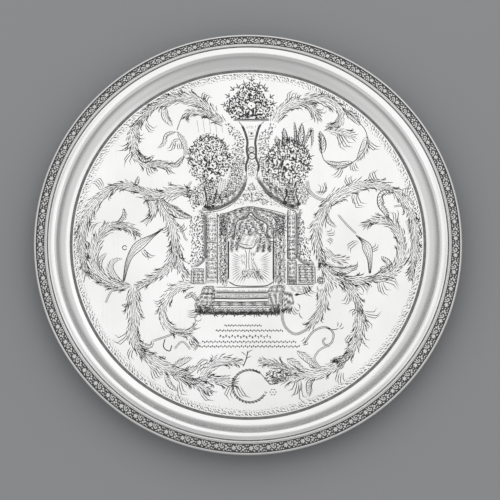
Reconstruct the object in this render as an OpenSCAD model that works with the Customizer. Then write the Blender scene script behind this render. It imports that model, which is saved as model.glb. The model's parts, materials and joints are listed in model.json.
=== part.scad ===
// Round footed silver salver. One raised sheet makes the flat floor, the curved bouge
// and the sloping rim. A patterned strip is soldered round the rim between a beaded
// wire and a deep edge wire, and four scroll feet stand on leaf-shaped solder plates.
// The origin is the middle of the plane that the feet stand on, and +Z is up.

/* [Tray] */
// Diameter over the edge wire
salver_d = 500; // [420:1:560]
// Thickness of the sheet, measured upright
sheet_t = 1.6; // [1.2:0.1:2.2]
// Width of the bouge, from the edge of the floor to the crest of its shoulder
bouge_w = 20.6; // [18:0.1:26]
// Steepest slope of the bouge, in degrees
bouge_slope = 48; // [42:1:52]
// Radius of the shoulder
shoulder_r = 8; // [6:0.5:10]
// Width of the shoulder's fall, from its crest to the land
shoulder_w = 4.6; // [3:0.1:6]
// Height of the crest over the land
shoulder_h = 0.4; // [0.2:0.1:0.8]
// Depth of the chased line at the edge of the floor
chased_depth = 0.5; // [0.2:0.1:0.8]

/* [Rim] */
// Slope of the rim outside the bead wire, in degrees below level
rim_slope = 22; // [10:1:30]
// Width of the patterned border strip
strip_w = 9.6; // [6:0.1:10]
// Thickness of the border strip, measured upright
strip_t = 0.85; // [0.5:0.05:1.2]
// Flat land left bare inside the bead wire
land_margin = 1.2; // [0.8:0.1:2]
// Gap between the border strip and the bead wire
strip_gap = 0.8; // [0.6:0.1:2]
// Width of the bead wire
bead_w = 2.6; // [2:0.1:4]
// Width of the edge wire
edge_w = 3; // [2.6:0.1:5]
// Height of the edge wire
edge_h = 7; // [6:0.1:9]
// Height of the edge wire's crest over the strip beside it
edge_proud = 0.5; // [0.2:0.1:1]

/* [Feet] */
// Height of the floor's underside over the table
floor_clear = 24; // [22:0.5:30]
// Distance of each foot's pad from the edge of the floor
foot_inset = 22.6; // [21:0.2:40]
// Width of each foot's leg, across the tray's radius
leg_w = 14; // [8:0.5:18]
// Radius of each foot's pad
pad_r = 8; // [7:0.5:10]
// Length of each solder plate, along the tray's radius
plate_l = 52; // [40:1:56]
// Width of each solder plate
plate_w = 30; // [22:1:36]
// Thickness of each solder plate
plate_t = 1.2; // [0.8:0.1:1.6]

/* [Hidden] */

$fn = 180;
bouge_start = 6;
bouge_steps = 12;
shoulder_steps = 8;
arc_steps = 12;
foot_angles = [-45, -135, 135, 45];

// Radii, from the edge inwards
rim_r = salver_d / 2;
strip_out_r = rim_r - edge_w;
strip_in_r = strip_out_r - strip_w;
slope_r = strip_in_r - strip_gap / 2;
bead_r = strip_in_r - strip_gap - bead_w / 2;
land_r = bead_r - bead_w / 2 - land_margin;
crest_r = land_r - shoulder_w;
floor_r = crest_r - bouge_w;
chased_w = 0.6;
foot_r = floor_r - foot_inset;

// The bouge is an ogee: a hollow arc, then the shoulder's round one
bouge_r = (bouge_w - shoulder_r * sin(bouge_slope)) / (sin(bouge_slope) - sin(bouge_start));

// Heights, from the table up
floor_z = floor_clear + sheet_t;
crest_z = floor_z + bouge_r * (cos(bouge_start) - cos(bouge_slope)) + shoulder_r * (1 - cos(bouge_slope));
land_z = crest_z - shoulder_h;
sheet_edge_z = land_z - (strip_out_r - slope_r) * tan(rim_slope);
edge_top_z = sheet_edge_z + strip_t + edge_proud;

// The leg is two quarter rings that meet in an S, drawn with x outwards and y up
leg_top = floor_clear - plate_t;
pad_h = 3.4;
leg_t = 7;
pad_sink = 0.2;
bend_r = (leg_top - pad_h + pad_sink - leg_t) / 2;
bend_y = leg_top - bend_r - leg_t / 2;
knee_x = -2 * bend_r;
toe_r = 4.6;
root_l = 15;

// Half a circle of radius r about a centre, anticlockwise from the given angle
function arc(centre, r, from) =
    [for (i = [0:arc_steps]) centre + r * [cos(from + 180 * i / arc_steps), sin(from + 180 * i / arc_steps)]];

// Points of the hollow arc, the shoulder and the shoulder's fall; a is the slope at each point
function hollow_arc() = [
    for (i = [1:bouge_steps])
        let (a = bouge_start + (bouge_slope - bouge_start) * i / bouge_steps)
        [floor_r + bouge_r * (sin(a) - sin(bouge_start)), floor_z + bouge_r * (cos(bouge_start) - cos(a))]
];
function shoulder() = [
    for (i = [shoulder_steps - 1:-1:0])
        let (a = bouge_slope * i / shoulder_steps)
        [crest_r - shoulder_r * sin(a), crest_z - shoulder_r * (1 - cos(a))]
];
function shoulder_fall() = [
    for (i = [1:shoulder_steps])
        let (t = i / shoulder_steps)
        [crest_r + shoulder_w * t, crest_z - shoulder_h * (1 - cos(180 * t)) / 2]
];
function bouge() = concat(hollow_arc(), shoulder(), shoulder_fall());

function sheet_top() = concat(
    [[0, floor_z], [floor_r - chased_w, floor_z], [floor_r, floor_z - chased_depth]],
    bouge(),
    [[slope_r, land_z], [strip_out_r, sheet_edge_z]]
);

function sheet_bottom() = concat(
    [[strip_out_r, sheet_edge_z - sheet_t], [slope_r, land_z - sheet_t]],
    [for (i = [len(bouge()) - 1:-1:0]) bouge()[i] - [0, sheet_t]],
    [[floor_r, floor_clear], [0, floor_clear]]
);

module tray_body() {
    color([0.90, 0.90, 0.91])
        rotate_extrude()
            polygon(concat(sheet_top(), sheet_bottom()));
}

module border_strip() {
    strip_in_z = land_z - (strip_in_r - slope_r) * tan(rim_slope);
    color([0.55, 0.55, 0.56])
        rotate_extrude()
            polygon([
                [strip_in_r, strip_in_z],
                [strip_out_r, sheet_edge_z],
                [strip_out_r, sheet_edge_z + strip_t],
                [strip_in_r, strip_in_z + strip_t]
            ]);
}

// Half-round wire with its flat side on the land
module bead_wire() {
    color([0.82, 0.82, 0.83])
        rotate_extrude()
            polygon(arc([bead_r, land_z], bead_w / 2, 0));
}

// Upright wire with a round top and bottom, soldered to the raw edge of sheet and strip
module edge_wire() {
    wire_r = edge_w / 2;
    wire_x = rim_r - wire_r;
    color([0.86, 0.86, 0.87])
        rotate_extrude()
            polygon(concat(
                arc([wire_x, edge_top_z - wire_r], wire_r, 0),
                arc([wire_x, edge_top_z - edge_h + wire_r], wire_r, 180)
            ));
}

// Quarter ring in the quadrant given by the signs of quad, on a middle radius of bend_r
module quarter_ring(quad) {
    outer_r = bend_r + leg_t / 2;
    intersection() {
        difference() {
            circle(r = outer_r, $fn = 64);
            circle(r = bend_r - leg_t / 2, $fn = 64);
        }
        translate([quad[0] > 0 ? 0 : -outer_r, quad[1] > 0 ? 0 : -outer_r])
            square(outer_r);
    }
}

// Side view of a leg: the pad's middle is at x = 0 and the root runs inwards along the plate
module leg_outline() {
    translate([knee_x, bend_y])
        quarter_ring([1, 1]);
    translate([0, bend_y])
        quarter_ring([-1, -1]);
    translate([toe_r / 3, pad_h - pad_sink + toe_r])
        circle(r = toe_r, $fn = 64);
    polygon([
        [knee_x, leg_top],
        [knee_x, leg_top - leg_t],
        [knee_x - root_l, leg_top - 1],
        [knee_x - root_l, leg_top]
    ]);
}

module foot(angle) {
    color([0.80, 0.80, 0.81])
        rotate([0, 0, angle])
            translate([foot_r, 0, 0])
                union() {
                    cylinder(r = pad_r, h = pad_h, $fn = 64);
                    rotate([90, 0, 0])
                        translate([0, 0, -leg_w / 2])
                            linear_extrude(leg_w)
                                leg_outline();
                }
}

// Leaf-shaped plate: the overlap of two equal circles
module foot_plate(angle) {
    leaf_r = (pow(plate_l / 2, 2) + pow(plate_w / 2, 2)) / plate_w;
    leaf_x = foot_r + knee_x - 2;
    color([0.84, 0.84, 0.85])
        rotate([0, 0, angle])
            translate([leaf_x, 0, leg_top])
                linear_extrude(plate_t)
                    intersection_for(side = [-1, 1])
                        translate([0, side * (leaf_r - plate_w / 2)])
                            circle(r = leaf_r, $fn = 128);
}

tray_body();
border_strip();
bead_wire();
edge_wire();
foot(foot_angles[0]);  // foot_front_right
foot(foot_angles[1]);  // foot_front_left
foot(foot_angles[2]);  // foot_back_left
foot(foot_angles[3]);  // foot_back_right
foot_plate(foot_angles[0]);  // foot_plate_front_right
foot_plate(foot_angles[1]);  // foot_plate_front_left
foot_plate(foot_angles[2]);  // foot_plate_back_left
foot_plate(foot_angles[3]);  // foot_plate_back_right
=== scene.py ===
"""A round footed silver salver: engraved tray, rolled border, beaded and plain wires, cast feet."""
import json
import math
import random

import bpy
import numpy as np
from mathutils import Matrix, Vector
from mathutils.geometry import delaunay_2d_cdt


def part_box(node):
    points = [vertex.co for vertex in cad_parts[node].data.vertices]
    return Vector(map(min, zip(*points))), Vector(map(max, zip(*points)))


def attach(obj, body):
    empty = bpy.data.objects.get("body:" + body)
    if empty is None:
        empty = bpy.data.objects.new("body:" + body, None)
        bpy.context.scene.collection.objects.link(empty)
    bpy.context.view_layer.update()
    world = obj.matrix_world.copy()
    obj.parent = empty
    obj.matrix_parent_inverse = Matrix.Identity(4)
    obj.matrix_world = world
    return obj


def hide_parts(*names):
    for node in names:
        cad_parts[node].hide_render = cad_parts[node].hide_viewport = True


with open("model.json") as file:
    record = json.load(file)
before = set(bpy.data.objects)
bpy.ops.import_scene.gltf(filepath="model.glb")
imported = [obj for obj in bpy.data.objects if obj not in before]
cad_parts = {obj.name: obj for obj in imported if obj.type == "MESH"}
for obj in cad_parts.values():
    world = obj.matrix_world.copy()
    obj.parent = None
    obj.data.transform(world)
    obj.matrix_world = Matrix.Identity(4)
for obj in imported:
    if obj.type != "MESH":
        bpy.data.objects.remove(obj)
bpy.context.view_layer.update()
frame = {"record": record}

MM = 0.001
TAU = 2 * math.pi

# ---------------------------------------------------------------- sizes, in mm, from the frame


def box_mm(node):
    """Lowest and highest corner of a CAD node, in mm."""
    low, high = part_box(node)
    return [c / MM for c in low], [c / MM for c in high]


def mount_mm(name):
    """Place of a mount, in mm."""
    mount = next(m for m in frame["record"]["mounts"] if m["name"] == name)
    return [c / MM for c in mount["pos_m"]]


BEAD_LOW, BEAD_HIGH = box_mm("bead_wire")
STRIP_LOW, STRIP_HIGH = box_mm("border_strip")
EDGE_LOW, EDGE_HIGH = box_mm("edge_wire")
FLOOR_Z = mount_mm("tray_floor")[2]
UNDER_Z = box_mm("tray_body")[0][2]
SHEET_T = FLOOR_Z - UNDER_Z
LAND_Z = BEAD_LOW[2]
RIM_R = min(-EDGE_LOW[0], EDGE_HIGH[0], -EDGE_LOW[1], EDGE_HIGH[1])
STRIP_OUT_R = STRIP_HIGH[0]
BEAD_OUT_R = BEAD_HIGH[0]

# Sizes that the boxes don't give, as the CAD part has them
BOUGE_STEPS = 12
BOUGE_W = 20.6
BOUGE_START = math.radians(6)
BOUGE_SLOPE = math.radians(48)
SHOULDER_R = 8
SHOULDER_W = 4.6
SHOULDER_H = 0.4
LAND_MARGIN = 1.2
STRIP_GAP = 0.8
STRIP_W = 9.6
STRIP_T = 0.85
BEAD_W = 2.6

# The chased line round the floor, and the crease inside the beads, as only this model has them
CHASED_W = 2.7
CHASED_DEPTH = 0.7
CREASE_W = 0.7
CREASE_DEPTH = 0.8

# Radii and heights that follow
BEAD_IN_R = BEAD_OUT_R - BEAD_W
LAND_R = BEAD_IN_R - LAND_MARGIN
CREST_R = LAND_R - SHOULDER_W
CREST_Z = LAND_Z + SHOULDER_H
FLOOR_R = CREST_R - BOUGE_W
SLOPE_RISE = math.sin(BOUGE_SLOPE) - math.sin(BOUGE_START)
BOUGE_R = (BOUGE_W - SHOULDER_R * math.sin(BOUGE_SLOPE)) / SLOPE_RISE
STRIP_IN_R = STRIP_OUT_R - STRIP_W
SLOPE_R = STRIP_IN_R - STRIP_GAP / 2
SHEET_EDGE_Z = STRIP_LOW[2]
CHASED_BOTTOM = (FLOOR_R - 1.0, FLOOR_Z - CHASED_DEPTH)
CREASE_BOTTOM = (BEAD_IN_R - CREASE_W, LAND_Z - CREASE_DEPTH)
STRIP_IN_TOP = STRIP_HIGH[2]
STRIP_OUT_TOP = SHEET_EDGE_Z + STRIP_T

# ---------------------------------------------------------------- engraving tools
# Everything here is drawn in mm on the flat floor, with the tray's centre at 0, 0 and
# +Y towards the top of the picture. A stroke is a list of points with a half width at
# each one, and becomes a V-shaped groove in the sheet.

STROKES = []
# Grooves are this many times wider than the widths given below, so that they show from the camera
GROOVE_GAIN = 1.7
# Points of strokes outside this radius are drawn in to it, so that no groove crosses the chased line
CUT_LIMIT = FLOOR_R - CHASED_W - 0.9
# Distance between the lanes of blades in a branch
LANE_PITCH = 1.9


def smooth(points, step=2.0):
    """Points along a Catmull-Rom curve through the given ones, about one step apart."""
    p = [np.array(q, float) for q in points]
    if len(p) == 2:
        p.insert(1, (p[0] + p[1]) / 2)
    p = [2 * p[0] - p[1]] + p + [2 * p[-1] - p[-2]]
    out = []
    for a, b, c, d in zip(p, p[1:], p[2:], p[3:]):
        n = max(1, int(round(np.linalg.norm(c - b) / step)))
        for i in range(n):
            t = i / n
            out.append(0.5 * (2 * b + (c - a) * t + (2 * a - 5 * b + 4 * c - d) * t * t
                              + (3 * b - a - 3 * c + d) * t ** 3))
    out.append(p[-2])
    return np.array(out)


def heading(curve):
    """Unit directions along a curve."""
    d = np.gradient(curve, axis=0)
    return d / np.maximum(np.linalg.norm(d, axis=1), 1e-9)[:, None]


def side_of(direction):
    """The left-hand normal of each direction."""
    return np.stack([-direction[..., 1], direction[..., 0]], -1)


def cut(curve, width, shape="blade"):
    """Adds one stroke. A blade is thickest at its middle, a thorn at its start, a line all along."""
    curve = np.array(curve, float)
    radius = np.maximum(np.linalg.norm(curve, axis=1), 1)
    curve *= np.minimum(1, CUT_LIMIT / radius)[:, None]
    t = np.linspace(0, 1, len(curve))
    if shape == "blade":
        half = np.sin(np.pi * t) ** 0.8
    elif shape == "thorn":
        half = (1 - t) ** 0.8
        half[0] = 0
        if len(curve) > 2:
            half[1] = 1
    else:
        half = np.ones(len(curve))
        half[[0, -1]] = 0
    STROKES.append((curve, half * width * GROOVE_GAIN / 2))


def tick(a, b, width):
    """A short straight blade from a to b."""
    a, b = np.array(a, float), np.array(b, float)
    cut([a, (a + b) / 2, b], width)


def hook(start, angle, length, bend, width, shape="blade", parts=3):
    """A curved blade that leaves start at an angle and turns by bend, both in radians."""
    p = np.array(start, float)
    pts = [p]
    for i in range(parts):
        a = angle + bend * (i + 0.5) / parts
        p = p + length / parts * np.array([math.cos(a), math.sin(a)])
        pts.append(p)
    cut(pts, width, shape)


def rings(centre, radii, width, parts=14, squash=1.0, start=0.0, span=TAU):
    """Round or part-round lines about a centre."""
    for r in radii:
        a = start + np.linspace(0, span, max(5, int(parts * abs(span) / TAU)))
        curve = np.stack([centre[0] + r * np.cos(a), centre[1] + r * squash * np.sin(a)], 1)
        cut(curve, width, "line")


def inside(point, outline):
    """Whether a point is inside a closed outline."""
    x, y = point
    hit = False
    for (x0, y0), (x1, y1) in zip(outline, outline[1:] + outline[:1]):
        if (y0 > y) != (y1 > y) and x < x0 + (y - y0) / (y1 - y0) * (x1 - x0):
            hit = not hit
    return hit


def hatch(outline, angle, pitch, width, gap, rng, longest=9.0):
    """Parallel lines across an outline, broken into strokes no longer than longest."""
    c, s = math.cos(angle), math.sin(angle)
    rotated = [(x * c + y * s, -x * s + y * c) for x, y in outline]
    low, high = min(q[1] for q in rotated), max(q[1] for q in rotated)
    v = low + pitch * 0.5
    while v < high:
        xs = sorted(x0 + (v - y0) / (y1 - y0) * (x1 - x0)
                    for (x0, y0), (x1, y1) in zip(rotated, rotated[1:] + rotated[:1])
                    if (y0 > v) != (y1 > v))
        for u0, u1 in zip(xs[::2], xs[1::2]):
            n = max(1, math.ceil((u1 - u0) / longest))
            for i in range(n):
                a, b = u0 + (u1 - u0) * i / n, u0 + (u1 - u0) * (i + 1) / n
                a, b = a + gap * rng.uniform(0.3, 1), b - gap * rng.uniform(0.3, 1)
                if b - a > 0.8:
                    w = v + rng.uniform(-0.12, 0.12) * pitch
                    tick((a * c - w * s, a * s + w * c), (b * c - w * s, b * s + w * c), width)
        v += pitch


def stipple(outline, pitch, size, width, rng, lean=None):
    """Short dashes scattered evenly inside an outline, as for small leaves."""
    xs, ys = [q[0] for q in outline], [q[1] for q in outline]
    y = min(ys)
    while y < max(ys):
        x = min(xs)
        while x < max(xs):
            p = (x + rng.uniform(-0.42, 0.42) * pitch, y + rng.uniform(-0.42, 0.42) * pitch)
            if inside(p, outline):
                a = rng.uniform(0, TAU) if lean is None else lean + rng.gauss(0, 0.5)
                n = size * rng.uniform(0.6, 1.25)
                hook(p, a, n, rng.uniform(-1, 1), width * rng.uniform(0.7, 1.3), parts=2)
            x += pitch
        y += pitch * 0.87


def sweep(start, angle, length, bend, flick, width, parts=4):
    """A long blade that turns by bend and then flicks back at its tip."""
    p = np.array(start, float)
    pts = [p]
    for i in range(parts):
        t = (i + 0.5) / parts
        a = angle + bend * t + flick * max(0, t - 0.3) ** 2 * 6
        p = p + length / parts * np.array([math.cos(a), math.sin(a)])
        pts.append(p)
    cut(pts, width)


def plume(points, width, rng, weight=1.0):
    """A leafy branch that swells from its root, tapers to its tip and is uneven along its edges."""
    curve = smooth(points, 1.0)
    way = np.unwrap([math.atan2(y, x) for x, y in heading(curve)])
    place = np.arange(len(curve)) / (len(curve) - 1)
    half = 0.66 * (width * np.minimum(1, 0.6 + 2.5 * place) * (1 - place) ** 0.4 + 1.5)
    half *= 1 + 0.18 * np.sin(np.arange(len(curve)) / 4.5 + rng.uniform(0, 6))
    plume_body(curve, way, half, weight, rng)
    plume_flicks(curve, way, half, weight, rng)


def plume_body(curve, way, half, weight, rng):
    """Long blades in lanes side by side, which follow the branch and lean out at its edges."""
    left = side_of(heading(curve))
    last = len(curve) - 1
    lanes = max(3, int(round(2 * half.max() / LANE_PITCH)))
    for lane in range(lanes):
        off = (2 * lane + 1) / lanes - 1
        k = rng.uniform(0, 6)
        while k < last - 3:
            i = int(k)
            run = rng.uniform(5.0, 10.0) * (0.75 + 0.35 * abs(off))
            turn = way[min(last, int(k + run))] - way[i]
            start = curve[i] + left[i] * half[i] * (off + rng.uniform(-0.5, 0.5) / lanes)
            angle = way[i] + off * rng.uniform(0.1, 0.5)
            flick = off * rng.uniform(0.0, 0.6)
            thick = (0.34 + 0.2 * abs(off)) * weight * rng.uniform(0.7, 1.3)
            sweep(start, angle, run, 0.9 * turn - off * 0.2, flick, thick, parts=3)
            k += run * rng.uniform(0.62, 0.85)


def plume_flicks(curve, way, half, weight, rng):
    """Groups of three leaves that leave a side of the branch here and there."""
    left = side_of(heading(curve))
    last = len(curve) - 1
    k = rng.uniform(4, 10)
    while k < last - 5:
        i = int(k)
        side = rng.choice((-1, 1))
        for j in range(3):
            start = curve[min(last, i + 2 * j)] + side * left[i] * half[i] * 0.85
            angle = way[i] + side * (0.4 + 0.12 * j)
            length = rng.uniform(6.5, 11.0)
            flick = side * rng.uniform(0.7, 1.5)
            sweep(start, angle, length, -side * 0.4, flick, 0.46 * weight)
        k += rng.uniform(10, 17)


def leaf(points, width, rng, weight=1.0):
    """A pointed leaf: a bold edge, a rib, and blades that sweep forward from the rib."""
    curve = smooth(points, 1.5)
    direction = heading(curve)
    left = side_of(direction)
    half = 0.6 * width * np.sin(np.pi * np.linspace(0, 1, len(curve)) ** 0.75) ** 0.8
    cut((curve - left * half[:, None])[::2], 0.5 * weight)
    cut(curve[::2], 0.4 * weight, "thorn")
    for k in range(1, len(curve) - 1):
        if half[k] <= 0.7:
            continue
        for side in (1, -1) if k % 2 else (1,):
            way = math.atan2(*direction[k][::-1])
            root = curve[k] + side * left[k] * half[k] * rng.uniform(0.05, 0.3)
            reach = half[k] * (1.5 if side > 0 else 1.1) * rng.uniform(0.85, 1.2)
            hook(root, way + side * 0.5, reach, side * rng.uniform(0.0, 0.6), 0.4 * weight, parts=2)


def fan(root, tip, count, rng, bend=0.5, spread=0.1, width=0.5):
    """Leaf fingers side by side: they leave the branch a little apart and bend the same way."""
    root, tip = np.array(root, float), np.array(tip, float)
    way = tip - root
    length, angle = float(np.linalg.norm(way)), math.atan2(way[1], way[0])
    across = np.array([-way[1], way[0]]) / length
    turn = 1 if bend > 0 else -1
    for i in range(count):
        f = i - (count - 1) / 2
        start = root + across * f * 1.9 + way * 0.06 * rng.uniform(-1, 1)
        reach = length * (1.05 - 0.12 * abs(f)) * rng.uniform(0.85, 1.1)
        flick = turn * rng.uniform(0.2, 0.7)
        sweep(start, angle - bend * 0.6 + f * spread, reach, bend, flick, width * 1.1, parts=3)


def vine(points, width, lines=1, gap=1.5):
    """One or more even lines side by side along a curve, thinner where there are more of them."""
    curve = smooth(points, 2.2)
    left = side_of(heading(curve))
    for i in range(lines):
        off = (i - (lines - 1) / 2) * gap
        cut(curve + left * off, width if lines == 1 else width * 0.7, "line")


def band(points, width, weight=0.75, pitch=0.9):
    """A dark moulding: close parallel lines along a curve, thickest at its middle."""
    curve = smooth(points, 2.0)
    left = side_of(heading(curve))
    n = max(2, int(round(width / pitch)))
    for i in range(n):
        off = (i + 0.5) / n - 0.5
        trim = int(abs(off) * 0.25 * len(curve))
        cut((curve + left * off * width)[trim:len(curve) - trim], weight, "line")


def shade(points, reach, rng, width=0.42, side=1, lean=0.4, pitch=1.25):
    """Graded shading: short cuts that leave a line to one side of it and thin out."""
    curve = smooth(points, pitch)
    for p, n in zip(curve, side_of(heading(curve)) * side):
        hook(p, math.atan2(n[1], n[0]) + lean, reach * rng.uniform(0.5, 1.1), 0.2, width, "thorn", 3)


def daisy(centre, r, rng, petals=7):
    """A bright open flower: dark petal edges round a dark eye."""
    turn = rng.uniform(0, 1)
    spread = math.pi / petals * 0.9
    for i in range(petals):
        a = TAU * (i + turn) / petals
        start = (centre[0] + 0.95 * r * math.cos(a - spread), centre[1] + 0.95 * r * math.sin(a - spread))
        hook(start, a + math.pi / 2 - 0.8, 2 * r * math.sin(spread), 1.7, 0.62, parts=3)
    for i in range(2):
        a = rng.uniform(0, TAU)
        c, s = 0.26 * r * math.cos(a), 0.26 * r * math.sin(a)
        tick((centre[0] - c, centre[1] - s), (centre[0] + c, centre[1] + s), 0.22 * r)


def dark(centre, r, angle=0.6, squash=0.7):
    """A small patch cut nearly solid, as between petals."""
    n = max(2, int(round(2 * r * squash / 0.75)))
    c, s = math.cos(angle), math.sin(angle)
    for i in range(n):
        v = ((i + 0.5) / n * 2 - 1) * r * squash
        u = r * math.sqrt(max(0.05, 1 - (v / (r * squash)) ** 2))
        tick((centre[0] - u * c - v * s, centre[1] - u * s + v * c),
             (centre[0] + u * c - v * s, centre[1] + u * s + v * c), 0.95)


# ---------------------------------------------------------------- the engraved picture


def scroll_upper_left():
    """The branch from the top bouquet round to the left."""
    rng = random.Random(11)
    plume([(-27, 141), (-43, 155), (-58, 169), (-78, 174), (-101, 169), (-119, 157), (-130, 141)], 10, rng)
    plume([(-127, 147), (-135, 128), (-133, 107), (-119, 95), (-103, 94), (-91, 88)], 9, rng)
    leaf([(-97, 166), (-97, 152), (-89, 139)], 8, rng)
    plume([(-38, 150), (-54, 157), (-68, 158), (-75, 148)], 6.5, rng)
    vine([(-76, 155), (-80, 146), (-84, 134)], 0.5)
    leaf([(-84, 133), (-95, 129), (-99, 119), (-108, 112)], 4.5, rng)
    leaf([(-84, 134), (-77, 124), (-73, 112), (-76, 100)], 5, rng)
    leaf([(-74, 104), (-84, 93), (-96, 95)], 5, rng, weight=1.4)
    leaf([(-131, 112), (-121, 99), (-109, 105)], 6, rng, weight=1.5)
    rings((-84, 120), (2, 4.5), 0.45, start=0.5, span=4.2)
    for root, tip, count, bend in (((-80, 120), (-78, 108), 3, 0.9), ((-88, 122), (-93, 106), 3, -0.7),
                                   ((-136, 121), (-153, 109), 3, -0.5), ((-134, 109), (-146, 92), 3, 0.5),
                                   ((-117, 94), (-111, 78), 4, 0.4), ((-95, 90), (-87, 78), 3, 0.4)):
        fan(root, tip, count, rng, bend)
    fan((-51, 168), (-46, 185), 4, rng, -0.9, width=0.6)
    for root, tip, count, bend in (((-76, 176), (-84, 184), 3, -0.5), ((-121, 146), (-107, 131), 3, 0.9),
                                   ((-133, 132), (-120, 123), 3, 0.9)):
        fan(root, tip, count, rng, bend)


def scroll_mid_left():
    """The great scroll on the left, with its bird."""
    rng = random.Random(12)
    plume([(-64, 60), (-82, 62), (-98, 57), (-117, 57), (-132, 65), (-148, 69), (-163, 63)], 10, rng)
    plume([(-158, 66), (-176, 52), (-187, 35), (-193, 16), (-194, -2), (-192, -20), (-187, -42)], 9, rng)
    plume([(-105, 55), (-97, 38), (-88, 20), (-86, 4), (-87, -12), (-93, -29), (-110, -42), (-132, -54)],
          9, rng)
    plume([(-84, 2), (-82, -15), (-78, -32), (-69, -42)], 8, rng, weight=1.15)
    plume([(-136, -53), (-152, -50), (-165, -45), (-177, -34), (-181, -17), (-177, 0), (-171, 11), (-161, 19),
           (-148, 21), (-136, 16), (-126, 7)], 9.5, rng)
    for points, width in (([(-144, -51), (-157, -40), (-161, -29), (-156, -21), (-145, -19)], 7),
                          ([(-150, -54), (-168, -49), (-183, -38), (-194, -31)], 7),
                          ([(-172, -34), (-173, -22), (-164, -11)], 5)):
        leaf(points, width, rng)
    vine([(-142, -56), (-158, -57), (-166, -72)], 0.5, 2)
    leaf([(-148, -74), (-140, -73), (-133, -68)], 3.5, rng)
    leaf([(-146, 42), (-144, 34), (-148, 27), (-156, 22)], 4.5, rng, weight=1.3)
    fan((-171, 64), (-181, 79), 4, rng, 0.5)
    leaf([(-136, 67), (-131, 72), (-128, 80)], 4.5, rng, weight=1.2)
    fan((-185, 12), (-176, 30), 4, rng, -0.9)
    plume([(-121, 58), (-111, 46), (-112, 33), (-122, 23)], 7, rng)
    fan((-112, 36), (-118, 24), 3, rng, -0.5)
    leaf([(-101, 51), (-84, 36), (-65, 29)], 10, rng)
    leaf([(-90, 46), (-76, 34), (-64, 30)], 6, rng)
    vine([(-86, 24), (-78, 18), (-74, 6), (-70, 2)], 0.5, 2)
    fan((-82, 14), (-71, 22), 3, rng, 0.6)
    fan((-92, 20), (-104, 12), 3, rng, -0.6)
    vine([(-66, 54), (-72, 62), (-66, 74)], 0.5, 2, 1.6)
    fan((-78, 60), (-60, 57), 3, rng, 0.8)
    bird([(-99, 17), (-110, 9), (-120, 2), (-132, -8), (-140, -22), (-145, -46)], rng)
    vine([(-122, -8), (-118, -12), (-116, -21)], 0.5)
    fan((-124, -7), (-110, -21), 3, rng, 0.5)
    rings((-144, -6), (2.6,), 0.6, parts=9)


def scroll_lower_left():
    """The branch at the lower left, down to the wreath."""
    rng = random.Random(13)
    plume([(-132, -52), (-134, -72), (-132, -91), (-134, -107), (-129, -123), (-118, -135)], 12, rng)
    plume([(-126, -127), (-103, -144), (-86, -151), (-70, -161), (-54, -169), (-41, -178)], 11, rng)
    for root, tip, count, bend in (((-138, -105), (-157, -122), 3, -0.5),
                                   ((-134, -124), (-141, -142), 3, 0.3),
                                   ((-110, -146), (-102, -165), 4, 0.4)):
        fan(root, tip, count, rng, bend)
    leaf([(-95, -153), (-90, -167), (-82, -175)], 6, rng)
    fan((-79, -163), (-75, -186), 3, rng, 0.4)
    fan((-55, -173), (-40, -190), 3, rng, 0.4)
    leaf([(-124, -118), (-114, -122), (-109, -114)], 5, rng)
    vine([(-110, -116), (-98, -112), (-82, -107), (-68, -109), (-58, -119), (-63, -128)], 0.55, 2)
    vine([(-96, -113), (-98, -123), (-91, -128), (-88, -120)], 0.7)
    vine([(-86, -126), (-76, -117), (-66, -127)], 0.5, 2)
    fan((-66, -112), (-56, -128), 4, rng, 0.4)
    plume([(-62, -49), (-80, -52), (-91, -61), (-99, -77), (-97, -93), (-86, -104), (-72, -106), (-59, -99)],
          7.5, rng)
    fan((-96, -66), (-110, -76), 3, rng, -0.4)
    leaf([(-75, -66), (-65, -61), (-60, -70)], 5, rng, weight=1.3)
    rings((-58, -89), (4,), 0.4, parts=10)
    fan((-72, -84), (-54, -82), 4, rng, 0.5)
    leaf([(-89, -147), (-76, -140), (-64, -136)], 7, rng)
    leaf([(-86, -156), (-70, -151), (-57, -146)], 8, rng)
    leaf([(-78, -158), (-62, -163), (-50, -158)], 7, rng, weight=1.2)
    plume([(-56, -160), (-45, -148), (-31, -139), (-8, -141)], 10, rng)
    plume([(-52, -158), (-35, -162), (-12, -165)], 9, rng, weight=1.25)
    for root, tip, count, bend in (((-60, -150), (-42, -138), 4, -0.7), ((-16, -166), (-26, -188), 3, 0.7),
                                   ((-12, -167), (-1, -187), 3, 0.4)):
        fan(root, tip, count, rng, bend)
    vine([(-6, -147), (-2, -137), (0, -127)], 0.7)
    for x, y, dx in ((-4, -141, -7), (-3, -138, 7), (-2, -134, -5), (-1, -131, 6)):
        hook((x, y), math.atan2(7, dx), 9, -0.5 if dx > 0 else 0.5, 0.5)


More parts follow.
